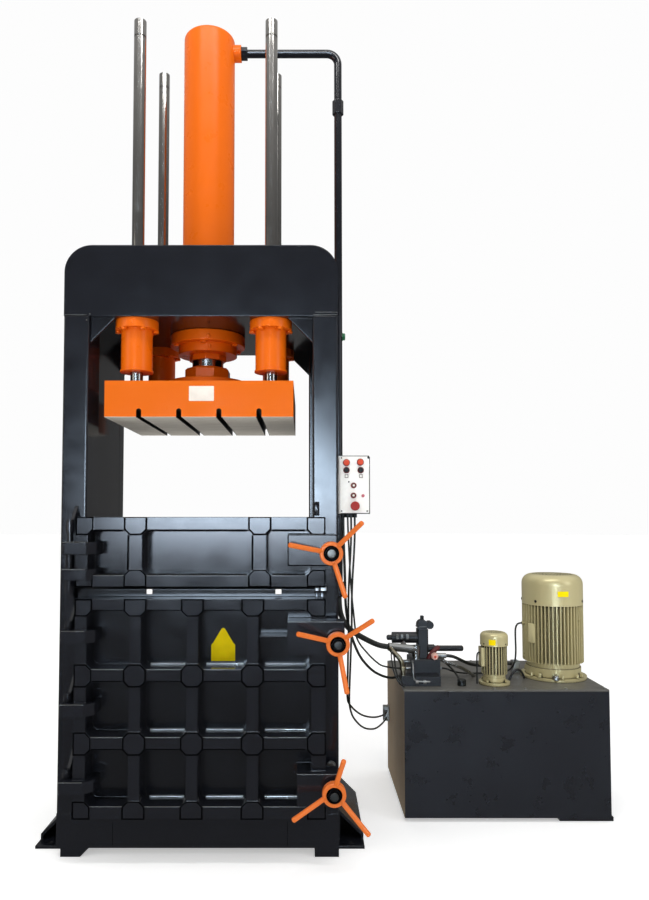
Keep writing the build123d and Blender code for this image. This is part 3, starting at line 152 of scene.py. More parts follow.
def planed_steel_and_reflection(tree, place, axis, level, steel, streak):
    """Mask = 1 below that level of that axis, and the colour there: streaks of 160 mm, 13 mm along y."""
    along = add(tree, "SeparateXYZ", {"Vector": place})
    # Streaks below the level are unpainted steel on the pressing plate and a painted reflection on the tank.
    below = add(tree, "Math", {0: along.outputs[axis], 1: level}, operation="LESS_THAN")
    drawn = add(tree, "Mapping", {"Vector": place, "Scale": (1.0, 12.0, 1.0)})
    streaks = add(tree, "TexNoise", {"Vector": drawn.outputs[0], "Scale": 1000 / 160, "Detail": 5.0})
    metal = add(tree, "Mix", {0: streaks.outputs["Fac"], 6: linear(steel), 7: linear(streak)},
                data_type="RGBA")
    return below.outputs[0], metal.outputs[2]


def painted_slot_shade(tree, place, first, half_pitch, half_width, top, front):
    """Mask = 1 on the slot walls, which get painted shade: near a slot's middle in x, below top, behind front.
    """
    along = add(tree, "SeparateXYZ", {"Vector": place})
    offset = add(tree, "Math", {0: along.outputs["X"], 1: first}, operation="SUBTRACT")
    phase = add(tree, "Math", {0: offset.outputs[0], 1: half_pitch}, operation="PINGPONG")
    inside = add(tree, "Math", {0: phase.outputs[0], 1: half_width}, operation="LESS_THAN")
    under = add(tree, "Math", {0: along.outputs["Z"], 1: top}, operation="LESS_THAN")
    behind = add(tree, "Math", {0: along.outputs["Y"], 1: front}, operation="GREATER_THAN")
    both = add(tree, "Math", {0: inside.outputs[0], 1: under.outputs[0]}, operation="MULTIPLY")
    return add(tree, "Math", {0: both.outputs[0], 1: behind.outputs[0]}, operation="MULTIPLY").outputs[0]


print("masks of wear:", [f.__name__ for f in (painted_edge_shade, painted_gap_shade, planed_steel_and_reflection, painted_slot_shade)])

# %% Sprayed enamel
# The second roughness dulls the reflections in the painted gap shade.
streak_roughness, gap_shade_roughness = 0.7, 1.0


def sprayed_enamel(name, colour, thick, edge_light_and_shade, roughness=0.3, peel=3.0, depth=0.06, edge=3.0,
                   edge_shade_strength=0.35, metallic=0.0, bare_and_reflection=None, slot_shade=None, gap_shade=None, specular=0.5):
    """Paint on steel. peel and edge are in millimetres, depth is the height of the peel in mm.

    Film = colour, and each layer's own colour mixed over it by that layer's mask, in turn: the
    second colour is a random drift, the third is painted shade along the edges.
    The streak argument is (axis, level, hex, hex) of the streaks below a level, in metres: unpainted
    steel on the pressing plate, a painted reflection on the tank. The gap colour is painted shade in
    narrow gaps. The slot argument (first, half pitch, half width, top, front, hex), in metres, gives
    painted shade on the slot walls.
    """
    material, tree = start_material(name)
    place = add(tree, "TexCoord").outputs["Object"]
    drift = add(tree, "TexNoise", {"Vector": place, "Scale": 1000 / 300, "Detail": 3.0})
    bevel = add(tree, "Bevel", {"Radius": edge / 1000}, samples=6)
    smear = add(tree, "TexNoise", {"Vector": place, "Scale": 1000 / 90, "Detail": 5.0, "Roughness": 0.6})
    gloss = add(tree, "MapRange", {"Value": smear.outputs["Fac"], "From Min": 0.3, "From Max": 0.7,
                                   "To Min": roughness * 0.8, "To Max": roughness * 1.25})
    layers = [(drift.outputs["Fac"], linear(thick), None),
              (painted_edge_shade(tree, place, bevel, edge_shade_strength), linear(edge_light_and_shade), None)]
    if gap_shade:
        layers.append((painted_gap_shade(tree), linear(gap_shade), gap_shade_roughness))
    if bare_and_reflection:
        layers.append((*planed_steel_and_reflection(tree, place, *bare_and_reflection), streak_roughness))
    if slot_shade:
        layers.append((painted_slot_shade(tree, place, *slot_shade[:-1]), linear(slot_shade[-1]), None))
    film, sheen = linear(colour), gloss.outputs["Result"]
    for mask, tint, dull in layers:
        film = add(tree, "Mix", {0: mask, 6: film, 7: tint}, data_type="RGBA").outputs[2]
        if dull:
            sheen = add(tree, "Mix", {0: mask, 2: sheen, 3: dull}).outputs[0]
    orange_peel = add(tree, "TexNoise", {"Vector": place, "Scale": 1000 / peel, "Detail": 1.0})
    relief = add(tree, "Bump", {"Height": orange_peel.outputs["Fac"], "Strength": 0.5,
                                "Distance": depth / 1000, "Normal": bevel.outputs["Normal"]})
    paint = add(tree, "BsdfPrincipled", {
        "Base Color": film, "Roughness": sheen, "Metallic": metallic, "Specular IOR Level": specular,
        "Normal": relief.outputs["Normal"],
    })
    add(tree, "OutputMaterial", {"Surface": paint.outputs["BSDF"]})
    return material


print("roughness of planed steel and of dust:", streak_roughness, gap_shade_roughness)

# %% The enamels of the baler
# The second colour of each enamel is a random drift, the third is painted shade along its edges.
frame_enamel = sprayed_enamel("blue_black_gloss_enamel", "#121318", "#17191F", "#0B0C0F",
                              roughness=0.15, peel=5.0, depth=0.04, edge=5.0, edge_shade_strength=0.8)
orange_enamel = sprayed_enamel("orange_gloss_enamel", "#E86A0A", "#E0640C", "#B8420C",
                               edge_shade_strength=0.5, specular=0.2)
# Below z = 1.8775 the plate shows unpainted planed steel, and its slot walls get dark painted shade.
plate_enamel = sprayed_enamel("orange_enamel_over_planed_steel", "#E0690C", "#D8630A", "#C24A10",
                              roughness=0.34, edge_shade_strength=0.3, specular=0.12,
                              bare_and_reflection=("Z", 1.8775, "#FFF8EC", "#C4BBAA"),
                              slot_shade=(-0.274, 0.088, 0.0135, 1.93, -0.3498, "#1C1714"))
wheel_enamel = sprayed_enamel("orange_handwheel_enamel", "#E67A34", "#DE6E2A", "#A8481A",
                              peel=2.0, edge=2.0, edge_shade_strength=0.5, specular=0.25)
# Below x = 0.9275 the tank's end wall gets tan streaks, a painted reflection of a warm room.
tank_enamel = sprayed_enamel("charcoal_satin_enamel", "#17181D", "#1D1F25", "#0C0D10",
                             depth=0.08, edge_shade_strength=0.5,
                             bare_and_reflection=("X", 0.9275, "#8F6E44", "#948A76"))
lid_enamel = sprayed_enamel("grey_green_satin_enamel", "#5B5954", "#64625C", "#2E2F2C",
                            roughness=0.36, edge=2.0, edge_shade_strength=0.5)
# Deep between the motor's fins, the last colour lays painted shade.
motor_enamel = sprayed_enamel("champagne_metallic_enamel", "#CFC596", "#C5BA8C", "#6E6448", roughness=0.32,
                              peel=2.0, edge=1.2, edge_shade_strength=0.4, metallic=0.25, gap_shade="#2A2412")
print("enamels:", [m.name for m in bpy.data.materials if "enamel" in m.name])

# %% [markdown]
# ## Bare metals
#
# The guide rods and the ram are ground and hard chromed. Grinding leaves extremely fine rings
# round the rod, too fine to see one by one; what shows is that highlights stretch along the rod.
# A noise squeezed 60 times along z draws those rings a little coarser than life. Pins, bolts and
# nuts are plain turned steel, with a broader, greyer shine.

# %% Chromed and turned steel
ring_stretch = 60


def turned_steel(name, colour, roughness, ring=1.0, depth=0.004, edge=0.8, shine="#8B8A86"):
    """Metal with tool rings round z: noise of ring mm along z, ring_stretch times longer across it."""
    material, tree = start_material(name)
    place = add(tree, "TexCoord").outputs["Object"]
    squeezed = add(tree, "Mapping", {"Vector": place, "Scale": (1 / ring_stretch, 1 / ring_stretch, 1.0)})
    rings = add(tree, "TexNoise", {"Vector": squeezed.outputs[0], "Scale": 1000 / ring, "Detail": 3.0})
    haze = add(tree, "TexNoise", {"Vector": place, "Scale": 1000 / 70, "Detail": 4.0})
    tone = add(tree, "MapRange", {"Value": haze.outputs["Fac"], "From Min": 0.35, "From Max": 0.7,
                                  "To Min": roughness * 0.75, "To Max": roughness * 1.4})
    shade = add(tree, "Mix", {0: haze.outputs["Fac"], 6: linear(colour), 7: linear(shine)}, data_type="RGBA")
    bevel = add(tree, "Bevel", {"Radius": edge / 1000}, samples=4)
    relief = add(tree, "Bump", {"Height": rings.outputs["Fac"], "Strength": 0.4, "Distance": depth / 1000,
                                "Normal": bevel.outputs["Normal"]})
    metal = add(tree, "BsdfPrincipled", {
        "Base Color": shade.outputs[2], "Metallic": 1.0, "Roughness": tone.outputs["Result"],
        "Normal": relief.outputs["Normal"],
    })
    add(tree, "OutputMaterial", {"Surface": metal.outputs["BSDF"]})
    return material


print("tool rings are drawn", ring_stretch, "times longer than wide")

# %% The metals of the baler
hard_chrome = turned_steel("ground_hard_chrome", "#B5B1AD", 0.17)
zinc_steel = turned_steel("zinc_plated_steel", "#B5B6B4", 0.34, ring=0.6)
dark_steel = turned_steel("oiled_turned_steel", "#303032", 0.50, ring=0.6, shine="#55534E")
brass = turned_steel("tarnished_brass", "#8F7C48", 0.38, ring=0.6)
worn_steel = turned_steel("worn_turned_steel", "#7C7C78", 0.55, ring=0.6)
black_oxide = turned_steel("black_oxide_steel", "#0E0E0F", 0.60, ring=0.6, shine="#1B1B1C")
print("metals:", [m.name for m in (hard_chrome, zinc_steel, dark_steel, brass, worn_steel, black_oxide)])

# %% [markdown]
# ## Plastics and rubber
#
# Buttons, knobs and the lamp are moulded thermoplastic: even colour, a soft broad highlight and a
# trace of mould texture. Hoses are extruded rubber, matt with a faint fabric-wrap pattern. The same
# recipe, with another grain, does for powder coat, vinyl film and phosphated iron. A plain shader
# without that fine bump would look like glass, so each gets a noise of about a millimetre.

# %% Plastics and rubber
enamels_and_metals = len(bpy.data.materials)


def moulded(name, colour, roughness, grain=0.8, depth=0.01, ior=1.46):
    """Moulded plastic or rubber with a texture of grain mm, and a shade drift of 40 mm."""
    material, tree = start_material(name)
    place = add(tree, "TexCoord").outputs["Object"]
    texture = add(tree, "TexNoise", {"Vector": place, "Scale": 1000 / grain, "Detail": 2.0})
    drift = add(tree, "TexNoise", {"Vector": place, "Scale": 1000 / 40, "Detail": 2.0})
    value = add(tree, "MapRange", {"Value": drift.outputs["Fac"], "To Min": 0.85, "To Max": 1.12})
    tint = add(tree, "HueSaturation", {"Color": linear(colour), "Value": value.outputs["Result"]})
    bevel = add(tree, "Bevel", {"Radius": 0.0008}, samples=4)
    relief = add(tree, "Bump", {"Height": texture.outputs["Fac"], "Strength": 0.3, "Distance": depth / 1000,
                                "Normal": bevel.outputs["Normal"]})
    plastic = add(tree, "BsdfPrincipled", {
        "Base Color": tint.outputs["Color"], "Roughness": roughness, "IOR": ior,
        "Normal": relief.outputs["Normal"],
    })
    add(tree, "OutputMaterial", {"Surface": plastic.outputs["BSDF"]})
    return material


print("enamels and metals so far:", enamels_and_metals)

# %% The moulded finishes of the baler
box_cream = moulded("cream_powder_coat", "#FBFAF5", 0.42, grain=1.2, depth=0.03, ior=1.5)
black_abs = moulded("black_moulded_abs", "#0D110F", 0.55)
red_abs = moulded("red_moulded_abs", "#D24626", 0.5)
maroon_abs = moulded("maroon_moulded_abs", "#7C2E28", 0.55)
crimson_abs = moulded("crimson_moulded_abs", "#9E241E", 0.55)
rose_abs = moulded("rose_moulded_lens", "#C0606C", 0.2)
hose_rubber = moulded("black_hose_rubber", "#222320", 0.45, grain=1.6, depth=0.05)
valve_black = moulded("black_phosphated_iron", "#1B1C1F", 0.38, grain=2.0, depth=0.06)
white_vinyl = moulded("white_vinyl_film", "#EDE4DA", 0.5, grain=0.5, ior=1.2)
yellow_vinyl = moulded("yellow_vinyl_film", "#FFE30A", 0.5, grain=0.5, ior=1.15)
# A dull black for painted shade: lines, rings and discs that stand for the shade in joint lines, gaps and vent
# holes.
painted_shade_black = moulded("black_painted_shade", "#040405", 0.8, ior=1.08)
grey_strip = moulded("grey_primer_strip", "#6F6B68", 0.5)
green_nylon = moulded("green_nylon_cap", "#1F6B43", 0.4)
brown_lens = moulded("brown_engraved_mark", "#8A7F76", 0.5)
oxide_red = moulded("oxide_red_hose_cover", "#5E1F1E", 0.45)
rose_seal = moulded("rose_thread_seal", "#E3B3A5", 0.5)
plate_film = moulded("champagne_coated_film", "#D2C898", 0.5)
print("moulded finishes:", len(bpy.data.materials) - enamels_and_metals)

# %% [markdown]
# ## Which piece wears which finish
#
# A CAD node keeps its mesh and its place; only its material slots change. One table from finish to
# nodes shows at a glance what was sprayed together on the real machine.

# %% Dress the CAD nodes
finishes = {
    frame_enamel: ["front_columns", "rear_columns", "side_panels", "rear_wall", "crown", "base",
                   "chamber_floor", "side_feet", "upper_door", "lower_door", "hinge_ears", "keepers",
                   "hinge_pins", "pressure_pipe"],
    orange_enamel: ["cylinder_barrel", "cylinder_flanges", "gland_nut", "cap_screws", "guide_sleeves",
                    "ram_clamp"],
    plate_enamel: ["platen"],
    wheel_enamel: ["upper_wheel", "middle_wheel", "lower_wheel"],
    hard_chrome: ["guide_rods", "ram"],
    zinc_steel: ["upper_bolt", "middle_bolt", "lower_bolt", "hose_fittings"],
    black_oxide: ["upper_spindle", "middle_spindle", "lower_spindle"],
    box_cream: ["control_box"],
    maroon_abs: ["button_bezels"],
    black_abs: ["ring_button_upper", "ring_button_lower", "selector_left", "selector_right", "filler_cap"],
    red_abs: ["red_button_left", "red_button_right"],
    crimson_abs: ["stop_button"],
    rose_abs: ["lamp"],
    tank_enamel: ["tank"],
    lid_enamel: ["tank_lid"],
    motor_enamel: ["large_motor", "small_motor", "fan_covers"],
    valve_black: ["valve_block", "directional_valve"],
}
for finish, names in finishes.items():
    for name in names:
        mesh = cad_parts[name].data
        mesh.materials.clear()
        mesh.materials.append(finish)
print("dressed", sum(len(names) for names in finishes.values()), "nodes")

# %% [markdown]
# ## Hoses and cables
#
# A cable has a fixed length and hangs in one smooth curve. Each is a NURBS spline whose control
# points are the points of its route in the CAD: the spline rounds every corner by itself. Its
# order is set after the points exist, because before that Blender keeps it at straight runs.

# %% Hoses and cables
def lay_cord(name, diameter, points):
    """A round cord along one NURBS spline of order 3; the points are control points, in metres."""
    line = bpy.data.curves.new(name + "_line", "CURVE")
    line.dimensions = "3D"
    spline = line.splines.new("NURBS")
    spline.points.add(len(points) - 1)
    spline.points.foreach_set("co", np.column_stack([points, np.ones(len(points))]).ravel())
    spline.order_u = 3
    spline.use_endpoint_u = True
    spline.resolution_u = 8
    line.bevel_depth = diameter / 2
    line.bevel_resolution = 5
    line.use_fill_caps = True
    line.materials.append(hose_rubber)
    piece = bpy.data.objects.new(name + "_skin", line)
    bpy.context.scene.collection.objects.link(piece)
    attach(piece, "frame")
    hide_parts(name)
    return piece


print("hose rubber:", hose_rubber.name)

# %% The routes of hoses and cables
lay_cord("main_hose", 0.027, [
    (0.620, 0.0, 1.055), (0.621, 0.0, 1.003), (0.632, 0.004, 0.956), (0.654, 0.013, 0.914),
    (0.688, 0.031, 0.880), (0.730, 0.058, 0.852), (0.768, 0.083, 0.829), (0.803, 0.101, 0.810),
    (0.838, 0.113, 0.796), (0.872, 0.118, 0.792),
])
lay_cord("pilot_cable", 0.012, [
    (0.625, -0.300, 1.438), (0.625, -0.299, 1.370), (0.630, -0.290, 1.260), (0.634, -0.278, 1.150),
    (0.636, -0.270, 1.050), (0.645, -0.256, 0.978), (0.662, -0.230, 0.911), (0.686, -0.180, 0.845),
    (0.713, -0.120, 0.787), (0.747, -0.060, 0.739), (0.785, 0.0, 0.696), (0.821, 0.040, 0.670),
    (0.857, 0.080, 0.650), (0.888, 0.108, 0.640), (0.920, 0.134, 0.640), (0.944, 0.153, 0.649),
    (0.955, 0.160, 0.668), (0.955, 0.160, 0.690),
])
lay_cord("valve_cable", 0.008, [
    (0.645, -0.300, 1.438), (0.646, -0.300, 1.385), (0.650, -0.306, 1.290), (0.655, -0.309, 1.185),
    (0.662, -0.308, 1.085), (0.671, -0.302, 1.005), (0.677, -0.276, 0.955), (0.686, -0.230, 0.898),
    (0.711, -0.158, 0.849), (0.742, -0.084, 0.807), (0.773, -0.016, 0.766), (0.806, 0.045, 0.730),
    (0.833, 0.092, 0.704), (0.868, 0.112, 0.693), (0.900, 0.123, 0.686), (0.925, 0.128, 0.684),
    (0.950, 0.128, 0.684),
])
lay_cord("tank_cable_upper", 0.009, [
    (0.660, -0.300, 1.438), (0.661, -0.300, 1.380), (0.658, -0.297, 1.280), (0.651, -0.291, 1.170),
    (0.648, -0.281, 1.060), (0.650, -0.268, 0.945), (0.648, -0.252, 0.840), (0.648, -0.228, 0.735),
    (0.647, -0.203, 0.668), (0.649, -0.170, 0.601), (0.665, -0.110, 0.565), (0.687, -0.040, 0.527),
    (0.713, 0.040, 0.489), (0.741, 0.120, 0.454), (0.777, 0.210, 0.421), (0.812, 0.290, 0.396),
    (0.844, 0.370, 0.376), (0.873, 0.440, 0.363), (0.896, 0.497, 0.357), (0.908, 0.530, 0.356),
    (0.911, 0.560, 0.356),
])
lay_cord("tank_cable_lower", 0.009, [
    (0.676, -0.300, 1.438), (0.677, -0.301, 1.380), (0.673, -0.304, 1.285), (0.666, -0.302, 1.180),
    (0.662, -0.294, 1.070), (0.663, -0.285, 0.960), (0.660, -0.268, 0.855), (0.658, -0.243, 0.755),
    (0.656, -0.214, 0.660), (0.658, -0.165, 0.584), (0.668, -0.110, 0.538), (0.682, -0.050, 0.494),
    (0.704, 0.020, 0.452), (0.728, 0.095, 0.411), (0.759, 0.180, 0.372), (0.792, 0.270, 0.341),
    (0.824, 0.340, 0.322), (0.852, 0.410, 0.313), (0.874, 0.460, 0.313), (0.894, 0.505, 0.316),
    (0.907, 0.533, 0.320), (0.909, 0.560, 0.322),
])
lay_cord("motor_hose", 0.016, [
    (1.165, 0.153, 0.7413), (1.193, 0.153, 0.740), (1.227, 0.164, 0.725), (1.264, 0.190, 0.704),
    (1.303, 0.225, 0.684), (1.350, 0.262, 0.670), (1.407, 0.301, 0.662), (1.463, 0.325, 0.662),
    (1.512, 0.330, 0.665), (1.546, 0.330, 0.665),
])
lay_cord("motor_cable", 0.009, [
    (1.580, 0.252, 0.890), (1.562, 0.252, 0.889), (1.550, 0.252, 0.876), (1.545, 0.252, 0.852),
    (1.546, 0.252, 0.800), (1.548, 0.254, 0.745), (1.546, 0.262, 0.692), (1.534, 0.275, 0.655),
    (1.508, 0.288, 0.633), (1.465, 0.297, 0.626), (1.380, 0.292, 0.624), (1.290, 0.272, 0.626),
    (1.218, 0.250, 0.641), (1.186, 0.245, 0.658), (1.160, 0.245, 0.660),
])
print("cords:", [line.name for line in bpy.data.curves])

# %% [markdown]
# ## Shapes from rings
#
# Everything added below is drawn the same way: a row of closed rings, each with the same number of
# points, joined ring to ring. A bolt is a circle that changes its radius as it rises, a plate is a
# rounded rectangle that shrinks a little at its front edge, a weld bead is a circle carried along
# a path. Blender's own primitives with a Bevel modifier could make most of them, but rings worked
# out with numpy give every profile its true shape at once. Places and sizes are in millimetres
# until the mesh is made.

# %% Standing a ring on a surface
SIDES = {
    "front": ((1, 0, 0), (0, 0, 1), (0, -1, 0)), "top": ((1, 0, 0), (0, 1, 0), (0, 0, 1)),
    "right": ((0, 1, 0), (0, 0, 1), (1, 0, 0)), "left": ((0, 1, 0), (0, 0, 1), (-1, 0, 0)),
}


def stand(flat, heights, centre, side, spin=0.0):
    """Point = centre + x across + y up + height outward; side is a name or an angle in degrees."""
    if side in SIDES:
        across, up, outward = (np.array(v, float) for v in SIDES[side])
    else:
        a = math.radians(side)
        across, outward = np.array([[-math.sin(a), math.cos(a), 0], [math.cos(a), math.sin(a), 0]])
        up = np.array([0.0, 0.0, 1.0])
    flat = np.asarray(flat, float)
    s = math.radians(spin)
    x = flat[..., :1] * math.cos(s) - flat[..., 1:] * math.sin(s)
    y = flat[..., :1] * math.sin(s) + flat[..., 1:] * math.cos(s)
    return np.array(centre, float) + x * across + y * up + np.array(heights)[:, None, None] * outward


print("named sides:", list(SIDES))


# %% Turned shapes and plates
def turned(centre, side, profile, spokes=24, spin=0.0):
    """A turned shape: ring k = radius k times (cos t, sin t), at height k. Six spokes make a hexagon."""
    radius, height = np.array(profile, float).T
    t = 2 * np.pi * np.arange(spokes) / spokes
    circle = np.column_stack([np.cos(t), np.sin(t)])
    return stand(radius[:, None, None] * circle, height, centre, side, spin)


def plate(centre, side, width, height, thick, corner=2.0, bevel=0.6):
    """A plate with rounded corners, drawn in by bevel at its front edge.

    Corner c of a ring = (x, y) of that corner + r (cos q, sin q), with q through one quarter turn;
    a ring that is drawn in by inset has r = corner - inset.
    """
    inset = np.array([0.0, 0.0, bevel * 0.3, bevel])[:, None, None]
    r = np.maximum(corner - inset, 0.1)
    q = np.linspace(0, np.pi / 2, 5) + np.array([[0.0], [0.5], [1.0], [1.5]]) * np.pi
    right, upper = np.array([[1], [-1], [-1], [1]]), np.array([[1], [1], [-1], [-1]])
    x = right * (width / 2 - inset - r) + r * np.cos(q)
    y = upper * (height / 2 - inset - r) + r * np.sin(q)
    rings = np.stack([x, y], axis=-1).reshape(4, 20, 2)
    return stand(rings, [0, thick - bevel, thick - 0.3 * bevel, thick], centre, side)


print("a bolt head has", turned((0, 0, 0), "front", [(6, 0), (6, 2), (4, 4)]).shape[:2], "points")


# %% Beads, frames and sheets
def bead(path, radius, spokes=10, rounds=3):
    """A round bar along a path: ring = path point + radius (cos t across + sin t up).

    Each round of smoothing replaces a corner by the quarter points of the runs beside it.
    """
    path = np.array(path, float)
    for _ in range(rounds if len(path) > 2 else 0):
        near, far = path[:-1] * 0.75 + path[1:] * 0.25, path[:-1] * 0.25 + path[1:] * 0.75
        path = np.vstack([path[:1], np.stack([near, far], 1).reshape(-1, 3), path[-1:]])
    ahead = np.gradient(path, axis=0)
    ahead /= np.linalg.norm(ahead, axis=1, keepdims=True)
    across = np.cross(ahead, (0.31, 0.52, 0.79))
    across /= np.linalg.norm(across, axis=1, keepdims=True)
    up = np.cross(across, ahead)
    t = 2 * np.pi * np.arange(spokes) / spokes
    return path[:, None] + radius * (np.cos(t)[:, None] * across[:, None] + np.sin(t)[:, None] * up[:, None])


def edging(outline, inner, front, thick):
    """A flat frame on a front face between two outlines of (x, z): ring k is its section at corner k."""
    outer, inner = np.array(outline, float), np.array(inner, float)
    x, z = np.stack([outer, outer, inner, inner], axis=1).transpose(2, 0, 1)
    y = np.broadcast_to([front, front - thick, front - thick, front], x.shape)
    rings = np.stack([x, y, z], axis=-1)
    return np.concatenate([rings, rings[:1]])


def sheet(outline, back, front):
    """A flat sheet: the outline of (x, z) corners, once at y = back and once at y = front."""
    x, z = np.array(outline, float).T
    return np.stack([np.column_stack([x, np.full(len(x), y), z]) for y in (back, front)])


def wrapped(centre, radius, first, last, low, high, thick):
    """A thin patch on a cylinder: point = centre + r (cos a, sin a), a in degrees from first to last."""
    a = np.radians(np.linspace(first, last, 12))[:, None]
    r = np.array([radius, radius + thick, radius + thick, radius])
    z = np.broadcast_to([low, low, high, high], (12, 4))
    return np.stack([centre[0] + r * np.cos(a), centre[1] + r * np.sin(a), z], axis=-1)


print("a weld bead has", bead([(0, 0, 0), (50, 0, 1), (100, 0, 0)], 5).shape[:2], "points")


# %% From rings to a piece
def skin(name, stacks, finish, body="frame", sharp=40):
    """Stacks of rings, (levels, around, 3) in mm, as one closed mesh that rides on body.

    A stack whose last ring repeats its first closes on itself; any other gets a cap at each end.
    """
    points, faces = [], []
    for rings in stacks:
        rings = np.asarray(rings, float)
        closed = np.allclose(rings[0], rings[-1])
        levels, around = len(rings) - closed, rings.shape[1]
        first = len(points)
        points += (rings[:levels].reshape(-1, 3) / 1000).tolist()
        step = np.arange(around)
        ahead = (step + 1) % around
        low = np.arange(levels if closed else levels - 1)[:, None]
        row, above = first + low * around, first + (low + 1) % levels * around
        faces += np.stack([row + step, row + ahead, above + ahead, above + step], -1).reshape(-1, 4).tolist()
        if not closed:
            faces += [(first + step[::-1]).tolist(), (first + (levels - 1) * around + step).tolist()]
    mesh = bpy.data.meshes.new(name)
    mesh.from_pydata(points, [], faces)
    shell = bmesh.new()
    shell.from_mesh(mesh)
    bmesh.ops.recalc_face_normals(shell, faces=shell.faces)
    shell.to_mesh(mesh)
    shell.free()
    mesh.shade_smooth()
    mesh.set_sharp_from_angle(angle=math.radians(sharp))
    mesh.materials.append(finish)
    piece = bpy.data.objects.new(name, mesh)
    bpy.context.scene.collection.objects.link(piece)
    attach(piece, body)
    return piece


print("meshes before the first new piece:", len(bpy.data.meshes))

# %% [markdown]
# ## Painted joint shade on the doors
#
# Each door is a lattice of plates, and an octagonal plate covers every crossing. Just inside the
# rim of each octagon runs a black line of painted shade, the shadow of the joint round the plate.
# It could be a dark mask in the paint, but a thin frame of its own stays sharp at any distance and
# rides on the door. The crossings follow from the centres of ribs and rails, and an octagon at the
# rim of a door is cut off there, one half plane at a time.

# %% Painted joint shade on the doors
octagon_face, rail_face, arm_face, hinge_face = -494.0, -490.0, -525.0, -515.0
upper_ribs, upper_rails = (-471, -248, 268, 511), (1172, 1411)
lower_ribs, lower_rails = (-471, -246, -9, 240, 511), (230, 509, 785, 1075)


def clipped(shape, axis, limit, keep):
    """Cut a polygon at one line: keep the side where keep * (value - limit) >= 0."""
    kept = []
    for here, ahead in zip(shape, shape[1:] + shape[:1]):
        d0, d1 = keep * (here[axis] - limit), keep * (ahead[axis] - limit)
        if d0 >= 0:
            kept.append(here)
        if d0 * d1 < 0:
            s = d0 / (d0 - d1)
            kept.append(tuple(p + s * (q - p) for p, q in zip(here, ahead)))
    return kept


def joint_shade(ribs, rails, low, high, half=47.0, cut=22.0, line=6.0):
    """A black line of painted shade on every octagon of half width half and corner cut, inside the door's
    rectangle.

    Inner outline = middle + (outer - middle) * (1 - line / reach), with reach the octagon's own.
    """
    octagon = [(half, half - cut), (half - cut, half), (cut - half, half), (-half, half - cut),
               (-half, cut - half), (cut - half, -half), (half - cut, -half), (half, cut - half)]
    stacks = []
    for x in ribs:
        for z in rails:
            shape = [(x + dx, z + dz) for dx, dz in octagon]
            for axis, limit, keep in ((0, low[0], 1), (0, high[0], -1), (1, low[1], 1), (1, high[1], -1)):
                shape = clipped(shape, axis, limit, keep)
            middle = np.mean(shape, axis=0)
            outer = np.array(shape)
            inner = middle + (outer - middle) * (1 - line / np.abs(outer - middle).max())
            stacks.append(edging(outer, inner, octagon_face, 0.5))
    return stacks


skin("upper_door_joint_shade", joint_shade(upper_ribs, upper_rails, (-496, 1148), (541, 1438)),
     painted_shade_black, "upper_door_body")
skin("lower_door_joint_shade", joint_shade(lower_ribs, lower_rails, (-496, 205), (541, 1099)),
     painted_shade_black, "lower_door_body")
print("octagons:", len(upper_ribs) * len(upper_rails), "and", len(lower_ribs) * len(lower_rails))

# %% [markdown]
# ## Gaps, weld beads and rubbed edges
# Between two ribs the rail's edge casts a shadow, drawn as a black line of painted shadow; its
# lower corner gets a thin bright bar of painted highlight, and at the foot of each pocket lies a
# weld bead in bright zinc, which shows as a painted highlight. The pocket pieces span a gap between
# ribs and stop short of the octagons, so one list of gaps places them all. The top edges of the
# hinge and lock arms get the same bright bars, and the upper lock arm a black outline of painted
# shade.

# %% Gaps, weld beads, painted shadow lines and painted highlights
upper_gaps = [(-446, -276), (-220, 240), (296, 481)]
lower_gaps = [(-446, -270), (-222, -33), (15, 216), (264, 481)]
lower_rows = [(255, 484), (534, 760), (810, 1051)]
clear = 24
bead_face = -391


def lines(runs, front, width, thick=0.4):
    """Thin straight strips on a front face: each run is (x0, z0, x1, z1) in mm."""
    stacks = []
    for x0, z0, x1, z1 in runs:
        size = (max(abs(x1 - x0), width), max(abs(z1 - z0), width))
        stacks.append(plate(((x0 + x1) / 2, front, (z0 + z1) / 2), "front", *size, thick, 0.4, 0.15))
    return stacks


def highlight_bar(x0, x1, front, z, radius=1.2):
    """A painted highlight: a thin bright round bar from x0 to x1."""
    return bead([(x0, front, z), (x1, front, z)], radius, 8)


# Black lines of painted shadow along the pocket edges, under the rails and beside the ribs.
runs = [(a + clear, 1381, b - clear, 1381) for a, b in upper_gaps]
runs += [(b - 3, 1220, b - 3, 1362) for _, b in upper_gaps[:2]]
runs += [(a + clear, 1199, b - clear, 1199) for a, b in upper_gaps]
skin("upper_door_shadow_lines", lines(runs, rail_face, 6.0), painted_shade_black, "upper_door_body")
runs = [(a + clear, top + 2, b - clear, top + 2) for a, b in lower_gaps for _, top in lower_rows]
skin("lower_door_shadow_lines", lines(runs, rail_face, 4.0), painted_shade_black, "lower_door_body")
# The leftmost pockets, beside the hinges, show no bead.
# The beads are bright zinc, a painted highlight along each pocket's foot.
foot_bead_highlights = [bead([(a + 22, bead_face, low + 3), ((a + b) / 2, bead_face, low + 3.4),
                    (b - 22, bead_face, low + 3)], 5.5) for a, b in lower_gaps[1:] for low, _ in lower_rows]
skin("pocket_weld_bead_highlights", foot_bead_highlights, zinc_steel, "lower_door_body")
